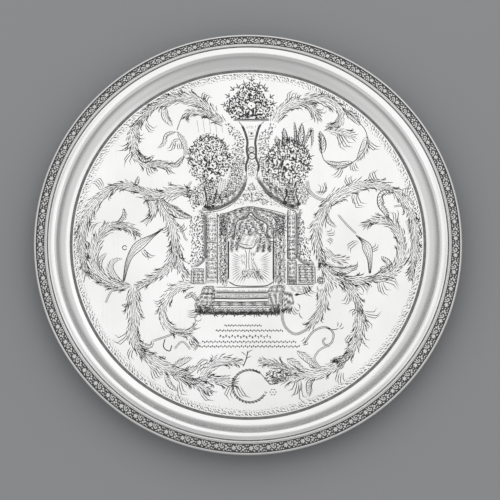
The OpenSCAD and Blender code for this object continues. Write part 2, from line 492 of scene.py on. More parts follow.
def scroll_upper_right():
    """The branch from the top bouquet round to the right."""
    rng = random.Random(14)
    plume([(31, 143), (37, 156), (49, 166), (64, 169), (76, 162), (84, 146)], 10, rng)
    plume([(62, 172), (82, 173), (99, 168), (110, 156), (107, 143), (90, 138)], 9, rng, weight=1.1)
    vine([(72, 176), (92, 177), (108, 168)], 0.4, 2)
    vine([(108, 166), (126, 149), (138, 135), (140, 121), (134, 107), (121, 95), (105, 92), (91, 97),
          (86, 111), (86, 131)], 0.5)
    leaf([(114, 160), (124, 152), (132, 140)], 8, rng, weight=1.2)
    leaf([(141, 128), (137, 112), (127, 97)], 9, rng, weight=1.1)
    leaf([(124, 96), (107, 92), (90, 98)], 7.5, rng, weight=1.3)
    leaf([(86, 106), (87, 120), (85, 134)], 8, rng, weight=1.6)
    plume([(91, 136), (107, 133), (127, 127)], 6, rng)
    for root, tip, count, bend in (((108, 132), (119, 106), 4, 0.3), ((104, 131), (112, 114), 3, -0.5),
                                   ((49, 168), (51, 184), 3, -0.5), ((58, 171), (61, 181), 3, -0.8),
                                   ((141, 122), (158, 108), 3, 0.7), ((111, 92), (101, 76), 3, -0.5),
                                   ((123, 96), (126, 82), 4, 0.4), ((78, 160), (94, 156), 3, 0.7)):
        fan(root, tip, count, rng, bend)


def scroll_mid_right():
    """The great scroll on the right, with its bird."""
    rng = random.Random(15)
    plume([(92, 46), (103, 55), (119, 64), (138, 70), (158, 69), (174, 61)], 10, rng)
    plume([(170, 64), (186, 47), (193, 28), (195, 10), (195, -9), (192, -27), (189, -45)], 9, rng)
    fan((121, 68), (115, 83), 4, rng, -0.6)
    fan((152, 72), (144, 90), 4, rng, -1.2, width=0.6)
    fan((186, 52), (190, 72), 4, rng, -0.8)
    fan((127, 62), (136, 36), 4, rng, 1.3, width=0.55)
    leaf([(172, 60), (158, 58), (156, 46), (162, 35), (165, 24)], 7, rng, weight=1.4)
    vine([(190, 38), (180, 44), (170, 43)], 0.5, 2)
    fan((172, 24), (173, 42), 3, rng, 0.3)
    for i in range(9):
        hook((196 - 0.6 * i, 26 - 2.2 * i), 2.7 - 0.12 * i, 13 - 0.5 * i, 0.9, 0.4)
    plume([(95, 50), (87, 34), (80, 14), (80, 0), (83, -16), (88, -28)], 9, rng, weight=1.1)
    leaf([(93, 36), (95, 26), (104, 17)], 5, rng)
    fan((90, 12), (103, 14), 3, rng, 1.0)
    fan((92, 4), (101, -2), 3, rng, -1.0)
    plume([(89, -6), (99, -18), (118, -20)], 6, rng)
    plume([(142, -45), (158, -39), (171, -32), (179, -18), (180, -3), (176, 13), (165, 24), (150, 27),
           (133, 20)], 9.5, rng)
    leaf([(166, -36), (163, -24), (155, -16)], 6.5, rng, weight=1.2)
    rings((158, -32), (2, 4), 0.45, parts=11)
    vine([(105, 34), (115, 22), (127, 10)], 0.5, 2)
    bird([(126, 9), (134, 2), (139, -6), (142, -20), (142, -37)], rng)
    fan((130, 2), (113, -9), 3, rng, 0.5)
    fan((143, -9), (154, -3), 3, rng, 0.5)
    vine([(69, 75), (72, 62), (82, 53), (95, 50)], 0.5, 3, 1.5)
    vine([(90, 73), (91, 62), (79, 60)], 0.5, 2)
    fan((84, 56), (91, 73), 3, rng, 0.4)


def scroll_lower_right():
    """The branch at the lower right, down to the wreath."""
    rng = random.Random(16)
    plume([(84, -22), (99, -40), (115, -49), (126, -65), (131, -83)], 10, rng, weight=1.1)
    plume([(130, -78), (130, -101), (125, -117), (117, -131), (103, -145)], 9, rng, weight=1.1)
    plume([(112, -139), (103, -145), (86, -153), (66, -156), (49, -160), (28, -164)], 9, rng)
    for root, tip, count, bend in (((133, -82), (157, -86), 3, 0.5), ((132, -90), (148, -106), 3, -0.3),
                                   ((131, -106), (139, -126), 3, 0.4), ((117, -60), (112, -76), 3, -0.4),
                                   ((127, -80), (117, -85), 3, 0.5), ((108, -151), (105, -168), 4, 0.3)):
        fan(root, tip, count, rng, bend)
    plume([(84, -50), (88, -70), (80, -88), (68, -102)], 8, rng, weight=1.1)
    vine([(70, -102), (55, -108), (43, -99), (40, -83), (49, -74)], 0.5, 3, 1.2)
    fan((66, -50), (76, -66), 4, rng, 0.5)
    hook((57, -72), -0.3, 9, -1.9, 0.6, parts=4)
    hook((60, -82), -1.9, 10, 1.7, 0.6, parts=4)
    fan((52, -76), (60, -86), 3, rng, 0.9)
    vine([(64, -121), (76, -105), (90, -100), (99, -107), (97, -118), (90, -121), (87, -116), (91, -112)],
         0.6, 2)
    vine([(90, -100), (99, -103), (106, -101)], 0.5)
    fan((105, -101), (110, -95), 3, rng, 0.3, 0.4)
    vine([(96, -121), (84, -126), (77, -137), (84, -148)], 0.5, 2)
    for points, width in (([(21, -146), (37, -145), (52, -153)], 6),
                          ([(56, -127), (68, -136), (81, -149)], 7),
                          ([(44, -137), (52, -140), (66, -151)], 7)):
        leaf(points, width, rng)
    leaf([(79, -160), (72, -166), (70, -182)], 7, rng, weight=1.3)
    fan((58, -161), (54, -183), 4, rng, -0.3, width=0.6)
    fan((62, -166), (63, -190), 2, rng, 0.5)
    leaf([(97, -137), (110, -136), (122, -128)], 9, rng)
    fan((122, -108), (112, -124), 3, rng, 0.7)
    plume([(62, -154), (46, -150), (30, -142), (10, -140)], 7, rng)
    stipple([(20, -152), (40, -150), (46, -160), (30, -168), (18, -162)], 1.9, 3.0, 0.7, rng, 0.3)
    plume([(103, -37), (118, -45), (132, -44), (149, -43)], 8, rng, weight=1.25)
    fan((150, -44), (182, -52), 3, rng, -0.7)
    leaf([(90, -26), (108, -33), (128, -28)], 10, rng, weight=1.1)
    for root, tip, count, bend in (((118, -31), (132, -25), 3, 0.8), ((154, -46), (159, -66), 4, 0.3),
                                   ((130, -47), (144, -59), 4, -0.3), ((92, -46), (97, -62), 4, -0.3),
                                   ((84, -38), (86, -54), 4, -0.3)):
        fan(root, tip, count, rng, bend)
    vine([(2, -149), (14, -154), (26, -168)], 0.45)
    daisy((29, -176), 3.5, rng, 6)


def bottom_ring():
    """An open wreath at the bottom: two close lines with leaves on both sides."""
    x, y = 2, -169
    start, span, leaves = 0.9, 4.9, 26
    rings((x, y), (19, 20.4), 0.5, parts=40, squash=0.95, start=start, span=span)
    for i in range(leaves):
        a = start + span * i / (leaves - 1)
        root = (x + 20 * math.cos(a), y + 19 * math.sin(a))
        for side in (1, -1):
            hook(root, a + math.pi / 2 + side * 0.7, 3.6, -side * 0.6, 0.5)


def bird(points, rng):
    """A small long-tailed bird: pointed beak, plump body and narrow feathered tail."""
    curve = smooth(points, 1.2)
    left = side_of(heading(curve))
    t = np.linspace(0, 1, len(curve))
    half = 0.6 + 5.2 * np.exp(-((t - 0.42) / 0.2) ** 2) + 1.6 * np.exp(-((t - 0.75) / 0.2) ** 2)
    half[-1] = 0.2
    half[:3] = (0.1, 0.4, 0.7)
    for side in (1, -1):
        cut(curve + side * left * half[:, None] * 0.9, 0.5, "line")
    for k in range(3, len(curve) - 2):
        for j in (-0.55, -0.1, 0.35):
            a = curve[k] + left[k] * half[k] * (j + rng.uniform(-0.1, 0.1))
            b = a + (curve[min(k + 2, len(curve) - 1)] - curve[k]) * 0.9
            tick(a, b, 0.42)


# ---------------------------------------------------------------- the building and its flowers


def bouquet(outline, root, flowers, darks, rng, weight=1.0):
    """A bunch of flowers: leaves that spread from a root, bright daisies, and dark gaps between them."""
    xs, ys = [q[0] for q in outline], [q[1] for q in outline]
    y = min(ys)
    while y < max(ys):
        x = min(xs)
        while x < max(xs):
            p = (x + rng.uniform(-0.9, 0.9), y + rng.uniform(-0.9, 0.9))
            clear = all(math.dist(p, f[:2]) > f[2] * 0.85 for f in flowers)
            if clear and inside(p, outline):
                out = math.atan2(p[1] - root[1], p[0] - root[0])
                hook(p, out + rng.gauss(0, 0.8), rng.uniform(1.5, 3.0), rng.uniform(-1.3, 1.3),
                     rng.uniform(0.32, 0.78) * weight, parts=2)
            x += 1.85
        y += 1.6
    for f in flowers:
        daisy(f[:2], f[2], rng, 7)
    for d in darks:
        for i in range(3):
            a = rng.uniform(0, TAU)
            spot = (d[0] + 0.5 * d[2] * math.cos(a), d[1] + 0.5 * d[2] * math.sin(a))
            hook(spot, rng.uniform(0, TAU), 2.0 * d[2], rng.uniform(-0.8, 0.8), d[2] * 0.5, parts=3)


def oval(centre, wide, high, wobble=0.1):
    """An uneven oval outline."""
    return [(centre[0] + wide / 2 * math.cos(TAU * i / 20) * (1 + wobble * math.sin(3.7 * i)),
             centre[1] + high / 2 * math.sin(TAU * i / 20) * (1 + wobble * math.cos(5.1 * i)))
            for i in range(20)]


def sprays(tips, root, width=0.7, length=9):
    """Small forked leaves that stand out round a bunch."""
    for x, y in tips:
        a = math.atan2(y - root[1], x - root[0])
        start = (x - 0.7 * length * math.cos(a), y - 0.7 * length * math.sin(a))
        for turn in (-0.45, 0, 0.45):
            sweep(start, a + turn, length * (1.0 if turn == 0 else 0.75), turn, turn, width, parts=3)


def top_bouquet():
    """The bouquet over the gable's stem."""
    rng = random.Random(21)
    flowers = [(4, 164.5, 5.2), (-10.6, 158, 3.6), (14.5, 157.5, 3.8), (6.5, 180, 3.4), (-12, 171, 2.8)]
    darks = [(1.6, 184, 1.8), (9.5, 182, 1.8), (2, 174, 2.2), (-3, 153, 3.0), (4, 152.5, 3.0), (12, 167, 2.0),
             (-4, 169.5, 1.6), (9, 152, 1.8), (-10.6, 158, 1.5), (14.5, 157.5, 1.4), (20, 164, 1.6),
             (-18, 163, 1.5), (10, 173, 1.6)]
    outline = [(-19, 149), (26, 149), (29, 158), (27, 168), (20, 176), (14, 187), (6, 193), (0, 191),
               (-9, 185), (-17, 176), (-25, 169), (-27, 158)]
    bouquet(outline, (4, 145), flowers, darks, rng, 1.7)
    tips = [(4.5, 199), (-5, 194), (14, 193), (-20, 187), (-26, 178), (23, 186), (30, 177), (-31, 166),
            (33, 168), (-13, 190), (20, 190)]
    sprays(tips, (4, 160), 0.75, 8)


def left_bouquet():
    """The bouquet on the left vase, with thin rays above it."""
    rng = random.Random(22)
    flowers = [(-41, 92, 4.4), (-42, 77.5, 5.2), (-31, 84, 3.8), (-56, 101, 3.6), (-33, 101, 3.8),
               (-56, 85, 4.0)]
    darks = [(-47, 98, 3.4), (-50, 89.5, 3), (-38, 85, 2.8), (-42, 104, 1.8), (-55, 94, 1.8), (-36, 95, 1.6),
             (-50, 78, 2), (-42, 77.5, 1.5), (-41, 92, 1.3), (-62, 93, 1.8), (-28, 92, 1.8), (-46, 113, 1.6)]
    bouquet(oval((-46, 99.5), 50, 60, 0.05), (-46, 68), flowers, darks, rng, 1.35)
    tips = [(-46, 130), (-37, 129), (-56, 127), (-29, 124), (-64, 120), (-69, 111), (-23, 116), (-72, 101),
            (-21, 106)]
    sprays(tips, (-46, 95), 0.75)
    for x in (-58, -51, -44, -37, -30):
        vine([(x, 131), (x * 1.02, 140), (x * 1.04, 148)], 0.2)


def right_bouquet():
    """The bouquet on the right vase, with tall pointed leaves."""
    rng = random.Random(23)
    flowers = [(34, 96.5, 4.8), (46.6, 94, 5.8), (47.7, 80.6, 5.4), (59, 93, 3.6), (31.7, 85.5, 4.4),
               (61.3, 82, 3.6), (41, 106, 3.2)]
    darks = [(40.5, 99.5, 2.2), (39.6, 88, 3.2), (41, 81.5, 2.4), (54.5, 86, 2.6), (33.5, 90.6, 2.4),
             (55, 98, 2.0), (46.6, 94, 1.6), (34, 96.5, 1.3), (47.7, 80.6, 1.7), (61, 82, 1.3), (59, 93, 1.2),
             (52, 108, 1.8), (66, 96, 1.8), (28, 101, 1.8)]
    bouquet(oval((48, 96), 52, 58, 0.06), (50, 66), flowers, darks, rng, 1.5)
    leaf([(58, 112), (62, 128), (63.8, 144)], 7, rng, 1.7)
    leaf([(42, 114), (43, 126), (42.4, 138)], 6, rng, 1.6)
    leaf([(36, 112), (34, 120), (34, 129)], 5, rng, 1.4)
    leaf([(54, 114), (55.5, 130), (54.2, 148)], 3, rng, 1.5)
    leaf([(64, 112), (70, 128), (74.5, 136), (76, 124), (74, 111)], 3.6, rng, 1.3)
    sprays([(76, 104), (74, 92), (24, 113), (49, 126), (70, 116), (21, 103)], (48, 95), 0.75)


def vase(left_edge, right_edge):
    """A slender vase under a bouquet, drawn by its two sides and a few rings."""
    vine(left_edge, 0.9)
    vine(right_edge, 0.9)
    for a, b in zip(smooth(left_edge, 3.2), smooth(right_edge, 3.2)):
        hook(a, math.atan2(b[1] - a[1], b[0] - a[0]) - 0.3, math.dist(a, b) * 0.9, 0.6, 0.55)


def pinnacle():
    """The stem over the gable, flaring to the bracket that carries the top bouquet."""
    rng = random.Random(24)
    left_edge = [(-11.4, 146), (-6.3, 139), (-2.3, 128.6), (-0.6, 120), (-1.4, 111), (0, 101), (-2.4, 92),
                 (-1.6, 78)]
    right_edge = [(19.4, 146), (13.3, 139), (10.2, 128.6), (8.6, 120), (9.4, 111), (9.6, 101), (12.6, 92),
                  (9.8, 78)]
    band(left_edge, 2.8, 0.5, 1.1)
    band(right_edge, 2.8, 0.5, 1.1)
    for y, w in ((148.4, 0.9), (146.6, 0.5), (128, 0.5), (124.5, 0.4)):
        half = 22 if y > 140 else 4.4
        vine([(4 - half, y), (4, y - 0.4), (4 + half, y)], w)
    rings((4, 111.3), (3.4,), 0.7)
    rings((4.6, 103.6), (3.8,), 0.7)
    for x in (2.6, 4.2, 5.6):
        tick((x, 109.5), (x + 0.3, 113), 0.4)
        tick((x, 101.5), (x + 0.3, 105.5), 0.4)
    hatch([(-4, 142), (12, 142), (7, 128), (1.5, 128)], 1.57, 2.4, 0.35, 1.2, rng)
    stipple([(0.5, 98), (8.5, 98), (10.5, 90), (8, 80), (1, 80), (-0.5, 90)], 1.7, 1.8, 0.6, rng)
    dark((4, 131), 1.6)


def trefoil(centre, r, turn):
    """Three round lobes about a point, each with a short vein."""
    for k in range(3):
        a = turn + TAU * k / 3
        c, s = math.cos(a), math.sin(a)
        lobe = (centre[0] + 0.55 * r * c, centre[1] + 0.55 * r * s)
        rings(lobe, (0.42 * r,), 0.55, parts=9, start=a - 2.4, span=4.8)
        tick(centre, lobe, 0.4)


def gable_sides(rng):
    """The gable's two curved sides, shaded on both faces, with a thin line below each."""
    left_line = [(-1, 78), (-5, 66), (-11, 56), (-20, 48.5), (-30, 43), (-40, 40), (-54, 38.5)]
    right_line = [(9.5, 78), (17, 67.5), (25, 58), (37, 50), (46, 44.5), (59.5, 39.5)]
    for line, side in ((left_line, -1), (right_line, 1)):
        band(line, 3.4, 0.5, 1.15)
        shade(line, 6.5, rng, 0.5, side, 0.5 * side)
        shade(line, 3.0, rng, 0.3, -side, -0.5 * side)
    vine([(-51, 35.8), (-40, 37), (-30, 39.6), (-20, 45), (-10, 53.5)], 0.45)
    vine([(57, 36.4), (46, 41.5), (37, 46.8), (26, 54.6), (16, 64)], 0.45)


def gable_ornament():
    """Four trefoils on stems in the gable's field."""
    for x, y, r, turn in ((4, 66, 4.6, 1.6), (-2, 55, 4.4, 2.6), (12.5, 56, 4.6, 0.4), (19, 49, 3.8, 0.0)):
        trefoil((x, y), r, turn)
    vine([(4, 61), (4.5, 54), (5, 47)], 0.6)
    vine([(5, 50), (10, 50), (15, 52)], 0.5)


def gable_leaves(rng):
    """Leaves over the gable's back, between the stem and the bouquets, and in its field."""
    beside_stem_left = [(-3, 124), (-4, 96), (-8, 66), (-22, 54), (-38, 46), (-36, 56), (-24, 70), (-20, 84),
                        (-22, 104), (-15, 122), (-27, 140), (-22, 144), (-10, 132)]
    beside_stem_right = [(12, 124), (13, 96), (18, 72), (28, 62), (40, 54), (40, 62), (26, 76), (23, 92),
                         (24, 108), (24, 124), (33, 140), (28, 144), (17, 134)]
    for outline in (beside_stem_left, beside_stem_right):
        stipple(outline, 1.95, 2.3, 0.66, rng)
    back_left = [(-3, 100), (-8, 66), (-22, 54), (-44, 44), (-66, 44), (-66, 62), (-52, 76), (-24, 76),
                 (-18, 100)]
    back_right = [(12, 100), (18, 72), (30, 60), (46, 50), (68, 44), (72, 56), (66, 72), (34, 72), (22, 84),
                  (22, 100)]
    hatch(back_left, 0.7, 1.5, 0.46, 0.5, rng, 4)
    hatch(back_right, -0.7, 1.5, 0.46, 0.5, rng, 4)
    stipple([(-66, 64), (-58, 44), (-46, 44), (-36, 48), (-34, 66), (-46, 76)], 2.2, 2.2, 0.6, rng)
    stipple([(44, 52), (62, 44), (74, 56), (66, 72), (42, 72)], 2.2, 2.2, 0.6, rng)
    field = [(-50, 38), (-12, 54), (4, 74), (18, 62), (52, 40), (20, 46), (4, 48), (-14, 45)]
    stipple(field, 2.3, 1.7, 0.5, rng)
    slope_left = [(-52, 41), (-40, 42), (-24, 48), (-12, 58), (-16, 64), (-28, 60), (-44, 58)]
    slope_right = [(60, 41), (46, 47), (34, 54), (22, 63), (24, 69), (38, 66), (54, 60)]
    hatch(slope_left, 0.5, 1.5, 0.6, 0.4, rng)
    hatch(slope_right, -0.5, 1.5, 0.6, 0.4, rng)


def gable():
    """The gable, the leaves behind it and the two vases that stand on it."""
    rng = random.Random(25)
    gable_sides(rng)
    gable_ornament()
    gable_leaves(rng)
    vase([(-51.7, 69), (-49.5, 58), (-47.5, 47)], [(-36, 65), (-38, 57), (-40.5, 47)])
    vase([(44, 66), (45, 58), (42, 49)], [(58, 66), (56, 58), (60, 47)])
    for x, y, r in ((-46, 42, 4), (-50, 43, 3), (-41, 43.5, 3), (43.5, 48, 4.2), (59, 46, 4), (52, 44, 3.2)):
        dark((x, y), r, 0.2, 0.5)


def column(x0, x1, top, rng):
    """A fluted column on a pedestal, between two upright lines."""
    vine([(x0, top), (x0, -20)], 0.5)
    vine([(x1, top), (x1, -20)], 0.45)
    shade([(x0, top), (x0, -20), (x0, -44)], 5, rng, 0.4)
    shade([(x1, top), (x1, -20), (x1, -44)], 3.6, rng, 0.34, -1, -0.4)
    stipple([(x0, top + 3), (x1, top), (x1, -42), (x0, -42)], 2.0, 1.5, 0.5, rng, 1.4)
    for y in (top - 6, 2.2, 0.4, -8.5, -19.4, -21):
        tick((x0, y), (x1, y), 0.55)
    # flutes, but for the one that the light catches
    for k in (0, 1, 2, 4, 5, 6):
        x = x0 + (x1 - x0) * (k + 0.6) / 8
        for y in np.arange(top - 7, -18, -5.2):
            tick((x, y), (x + rng.uniform(-0.3, 0.3), y - 4.8), 0.5)
    vine([(x0, -21), (x0, -50)], 0.5)
    vine([(x1, -21), (x1, -50)], 0.5)
    hatch([(x0 + 1, -22), (x1 - 1, -22), (x1 - 1, -49), (x0 + 1, -49)], 1.5, 1.5, 0.42, 0.5, rng, 6)
    for y in (-42, -44.5):
        tick((x0, y), (x1, y), 0.55)


def outer_sweeps(rng):
    """The dark lines outside the columns, which sweep out to the wings at their foot."""
    left_line = [(-54, 39), (-50.4, 32), (-50.2, 10), (-50.2, -16), (-52, -22), (-58, -27), (-66, -31)]
    right_line = [(59.5, 39), (57.6, 30), (57.2, 10), (57.2, -14), (61, -22), (69, -25.6), (77, -26.6)]
    for line, side in ((left_line, -1), (right_line, 1)):
        band(line, 2.2, 0.42, 1.15)
        shade(line, 6.5, rng, 0.46, side, 0.4 * side)


def floral_pier(x0, x1, rng):
    """An upright panel of leaves with a daisy and a dark gap every 8 mm."""
    outline = [(x0 + 0.8, 33), (x1 - 0.8, 33), (x1 - 0.8, -48), (x0 + 0.8, -48)]
    middle = (x0 + x1) / 2
    stipple(outline, 2.3, 1.9, 0.55, rng)
    for y in range(27, -46, -8):
        dark((middle + rng.uniform(-2, 2), y), 1.3)
        daisy((middle + rng.uniform(-2.5, 2.5), y - 4), 2.4, rng, 6)
    vine([(x0, 20), (x0, -50)], 0.45)
    hatch(outline, 0.9, 1.35, 0.46, 0.3, rng)


def brick_wing(x0, x1, top, low, rng):
    """A low wall of bricks in running bond, hatched over."""
    rows = max(2, int((top - low) / 3.1))
    for j in range(rows + 1):
        y = top + (low - top) * j / rows
        vine([(x0, y), ((x0 + x1) / 2, y + 0.2), (x1, y)], 0.4)
        x = x0 + (2.4 if j % 2 else 4.6)
        while x < x1 and j < rows:
            tick((x, y), (x, y - 3), 0.4)
            x += 4.8
    hatch([(x0, top), (x1, top), (x1, low), (x0, low)], 0.5, 1.4, 0.56, 0.3, rng)


def columns():
    """Everything that stands on the building's base to the left and right of the arch."""
    rng = random.Random(26)
    column(-49, -35.4, 35, rng)
    column(46, 56.4, 38, rng)
    outer_sweeps(rng)
    floral_pier(-35.4, -23, rng)
    floral_pier(29.6, 45, rng)
    for x0, x1, top, low in ((-66, -50, -31, -49), (57, 78, -26, -48), (46, 57, -44, -49)):
        brick_wing(x0, x1, top, low, rng)
    vine([(-66, -31), (-66.4, -50)], 0.6)
    vine([(78, -27), (78.4, -49)], 0.6)
    rings((84.5, -44.7), (3.6, 2.0), 0.55)


def arch_edge(rng):
    """The pointed arch's edge, shaded outwards, and the line under the gable."""
    edge = [(-22.8, 4), (-17, 7), (-15.5, 13.7), (-12.4, 25.3), (-3, 29.6), (3.2, 36), (9.5, 29.6),
            (21.8, 22), (21.8, 12), (25, 5), (29.3, 4)]
    band(edge, 1.6, 0.42, 0.9)
    shade(edge, 6, rng, 0.46)
    vine([(-34, 33), (-22, 36.5), (-10, 41), (3, 43), (16, 41), (30, 38), (44, 34)], 0.5)


def spandrels(rng):
    """Leaves and shading between the arch and the gable's field."""
    leafy = [(-34, 33), (-10, 40), (3, 42), (16, 40), (44, 33), (45, 16), (30, 6), (26, 8), (24, 24),
             (12, 32), (3.4, 39), (-4, 33), (-14, 28), (-18, 12), (-24, 6), (-34, 12)]
    shaded = [(-34, 32), (-10, 41), (3, 43), (16, 41), (44, 33), (44, 8), (26, 7), (23, 24), (10, 31),
              (3.2, 38), (-3, 31), (-14, 26), (-18, 9), (-34, 8)]
    stipple(leafy, 1.9, 2.0, 0.55, rng)
    hatch(shaded, 0.3, 1.35, 0.5, 0.3, rng)
    shade([(-30, 34), (-10, 40.5), (3, 42.5), (16, 40.5), (30, 37), (44, 33)], 6, rng, 0.4, -1)


def arch_leaves(rng):
    """Leaves and shading inside the arch's head."""
    leafy = [(-22, 3), (-15, 14), (-12, 24), (3, 34), (20, 22), (21, 12), (28, 4), (28, -9), (10, -9),
             (12, 9), (-6, 9), (-11, -8), (-22, -9)]
    shaded = [(-22, 3), (-15, 14), (-12, 24), (3, 34), (20, 22), (21, 12), (28, 4), (28, -11), (8, -11),
              (12, 10), (-6, 10), (-11, -11), (-22, -11)]
    stipple(leafy, 1.7, 1.8, 0.56, rng)
    hatch(shaded, 0.15, 1.35, 0.54, 0.3, rng)
    hatch([(10, -4), (28, -2), (28, -12), (6, -12)], 0.0, 1.4, 0.3, 0.2, rng)


def desk(rng):
    """The slanted desk in the arch and its thin pedestal."""
    top = [(-6, 9.5), (12.5, 9), (6, -4), (-11.6, -1)]
    for a, b in zip(top, top[1:] + top[:1]):
        tick(a, b, 0.6)
    hatch(top, 0.05, 1.5, 0.34, 0.6, rng)
    hatch([(-12, -2), (5, -5), (5, -9), (-9, -8)], 0.4, 1.3, 0.4, 0.3, rng)
    vine([(-12, -3), (-4, -6.4), (5.5, -6), (12, 4)], 0.55)
    for x in (-2.6, 1.6):
        vine([(x * 1.5, -7.5), (x * 0.8, -12), (x * 0.6, -24), (x, -33)], 0.42)
    hatch([(2.4, -10), (10, -11), (7, -20), (19, -44), (14, -45), (4, -30)], 1.3, 1.2, 0.4, 0.3, rng)
    hatch([(-3, -12), (-9, -14), (-8, -26), (-3, -28)], 1.3, 1.4, 0.34, 0.3, rng)


def rays(rng):
    """Rays to the left and right of a point in the arch, with tufts below it."""
    x, y = 3.2, -25
    for i in range(15):
        for a in (0.55 - i * 0.125, math.pi - 0.55 + i * 0.125):
            c, s = math.cos(a), math.sin(a)
            near = 10 + 3 * rng.random()
            far = min(24.5 / max(0.12, abs(c)), 25 / max(0.12, abs(s))) * 0.96
            if far > near + 2:
                tick((x + near * c, y + near * s), (x + far * c, y + far * s), 0.42)
    stipple([(-8, -32), (14, -32), (15, -43), (-7, -43)], 1.6, 2.2, 0.55, rng, 1.5)


def arch():
    """The arched opening with what is in it, its sides and its sill."""
    rng = random.Random(27)
    arch_edge(rng)
    spandrels(rng)
    arch_leaves(rng)
    desk(rng)
    rays(rng)
    for x, side in ((-22.8, -1), (29.5, 1)):
        line = [(x, 5), (x, -20), (x, -46)]
        band(line, 1.5, 0.5, 0.8)
        shade(line, 3.6, rng, 0.36, side, 0.4 * side)
    vine([(-22.8, -46), (-16, -50), (-8, -51.5), (16, -51.5), (24, -50), (30, -46)], 0.7)


def treads(rng):
    """Three steps: their edges, their shaded risers and the shade under each edge."""
    for y, width, x0, x1 in ((-52.6, 0.5, -38, 25), (-58.8, 0.75, -38, 24), (-60.4, 0.4, -39, 24),
                             (-66, 0.8, -42, 24), (-69.6, 0.6, -42, 25)):
        vine([(x0, y), ((x0 + x1) / 2, y - 0.6), (x1, y)], width)
    for x in np.arange(-37, 23, 1.5):
        tick((x, -61), (x + rng.uniform(-0.2, 0.4), -64.8), 0.4)
    hatch([(-41, -71), (25, -71), (28, -75), (-41, -75)], 0.0, 1.1, 0.46, 0.3, rng, 14)
    for y in (-58.6, -65.8, -72.6):
        shade([(-41, y), (-8, y - 0.4), (25, y)], 4.4, rng, 0.46)


def plinth(rng):
    """The block under the steps, darkest along its foot."""
    hatch([(-58, -73), (38, -73), (38, -86), (-60, -86)], 0.35, 1.3, 0.7, 0.3, rng)
    shade([(-60, -84.6), (-10, -86), (38, -84.6)], 10, rng, 0.7, 1, 0.15, 1.15)
    shade([(-56, -84.6), (-10, -86), (34, -84.6)], 4.5, rng, 0.6, 1, -0.5, 1.3)


def end_blocks(rng):
    """The two blocks that close the steps at their ends."""
    left_block = [(-51.5, -51.6), (-38.4, -51.6), (-39, -71), (-44, -80), (-61, -78), (-62.4, -71.2),
                  (-55.2, -60.5)]
    right_block = [(26.1, -51), (43.9, -50), (41.7, -59.3), (38.6, -80), (28, -80), (25, -70), (22, -62)]
    for block in (left_block, right_block):
        for a, b in zip(block, block[1:] + block[:1]):
            tick(a, b, 0.5)
    vine([(-55.2, -60.5), (-46, -61), (-39, -60.5)], 0.6)
    for block, angle in ((left_block, 0.05), (left_block, 1.2), (right_block, 0.0), (right_block, 0.9)):
        hatch(block, angle, 1.6, 0.55, 0.4, rng, 7)


def ledge(rng):
    """The ledge on the right, its corbel and the shadow beside the steps."""
    hatch([(40, -56), (52, -58), (54, -70), (50, -82), (39, -84)], 1.3, 1.2, 0.66, 0.3, rng)
    vine([(44, -49.2), (60, -49.6), (78, -49.2)], 0.6)
    vine([(70, -50), (72.5, -56), (66, -60), (56, -62)], 0.6)
    hatch([(46, -51), (68, -51), (72, -56), (62, -60), (50, -58)], 0.3, 1.3, 0.36, 0.3, rng)
    dark((57, -61.5), 3.6, 0.2, 0.35)
    hatch([(64, -52), (77, -50.5), (74, -58), (68, -60)], -0.8, 1.4, 0.4, 0.3, rng)


def grass(rng):
    """Tufts along the foot of the building, higher past its two ends."""
    for i in range(64):
        x = -60 + i * 1.75
        y = -82.6 + 1.4 * math.sin(i * 0.9) + (3 if x < -42 or x > 36 else 0)
        down = -1.57 + rng.uniform(-0.7, 0.7)
        hook((x, y), down, rng.uniform(3, 6.5), rng.uniform(-0.8, 0.8), 0.62)
        down = -1.57 + rng.uniform(-0.9, 0.9)
        hook((x + 0.8, y + 1), down, rng.uniform(2, 4), rng.uniform(-0.8, 0.8), 0.5)


def steps():
    """The building's base, from the steps down to the grass."""
    rng = random.Random(28)
    treads(rng)
    plinth(rng)
    end_blocks(rng)
    ledge(rng)
    grass(rng)


def bushes():
    """Leaves outside the building's sides and beside the left bouquet."""
    rng = random.Random(29)
    left_side = [(-68, 28), (-58, 34), (-51, 30), (-51, -18), (-58, -24), (-70, -28), (-66, -10), (-69, 10)]
    right_side = [(59, 36), (66, 24), (68, 4), (74, -14), (76, -24), (66, -22), (59, -14)]
    stipple(left_side, 2.4, 2.9, 0.75, rng, 1.2)
    stipple(right_side, 2.3, 2.8, 0.75, rng, 1.8)
    stipple([(-72, 68), (-60, 62), (-56, 44), (-64, 38), (-70, 50)], 2.5, 3.0, 0.75, rng)


def ornament_rows():
    """Running sprigs in place of an inscription: a wavy line with a pair of leaves on each wave."""
    rng = random.Random(31)
    for y, x0, x1, size in ((-98, -28, 14, 1.0), (-104, -38, 39, 1.1), (-111, -34, 24, 1.7),
                            (-117.2, -54, 54, 1.2), (-122.6, -57, 60, 1.2)):
        run = size * 2.1
        x, up = x0, 1
        while x < x1:
            hook((x, y - up * size * 0.3), up * 0.5, run, -up * 1.0, 0.44)
            for turn in (1.2, 1.9):
                angle = up * turn + rng.uniform(-0.3, 0.3)
                hook((x + run * 0.5, y), angle, size * 1.6, -up * 0.7, 0.6, parts=2)
            x += run * 0.95
            up = -up
    for side in (-1, 1):
        fan((1 + side * 61, -119), (1 + side * 70, -114), 3, rng, 0.5 * side, 0.3)


FRINGE_COUNT = 480
# Radius, length and width of the cuts in each row
FRINGE_ROWS = ((204.2, 4.4, 0.62), (201.2, 3.8, 0.46), (198.2, 2.6, 0.3))


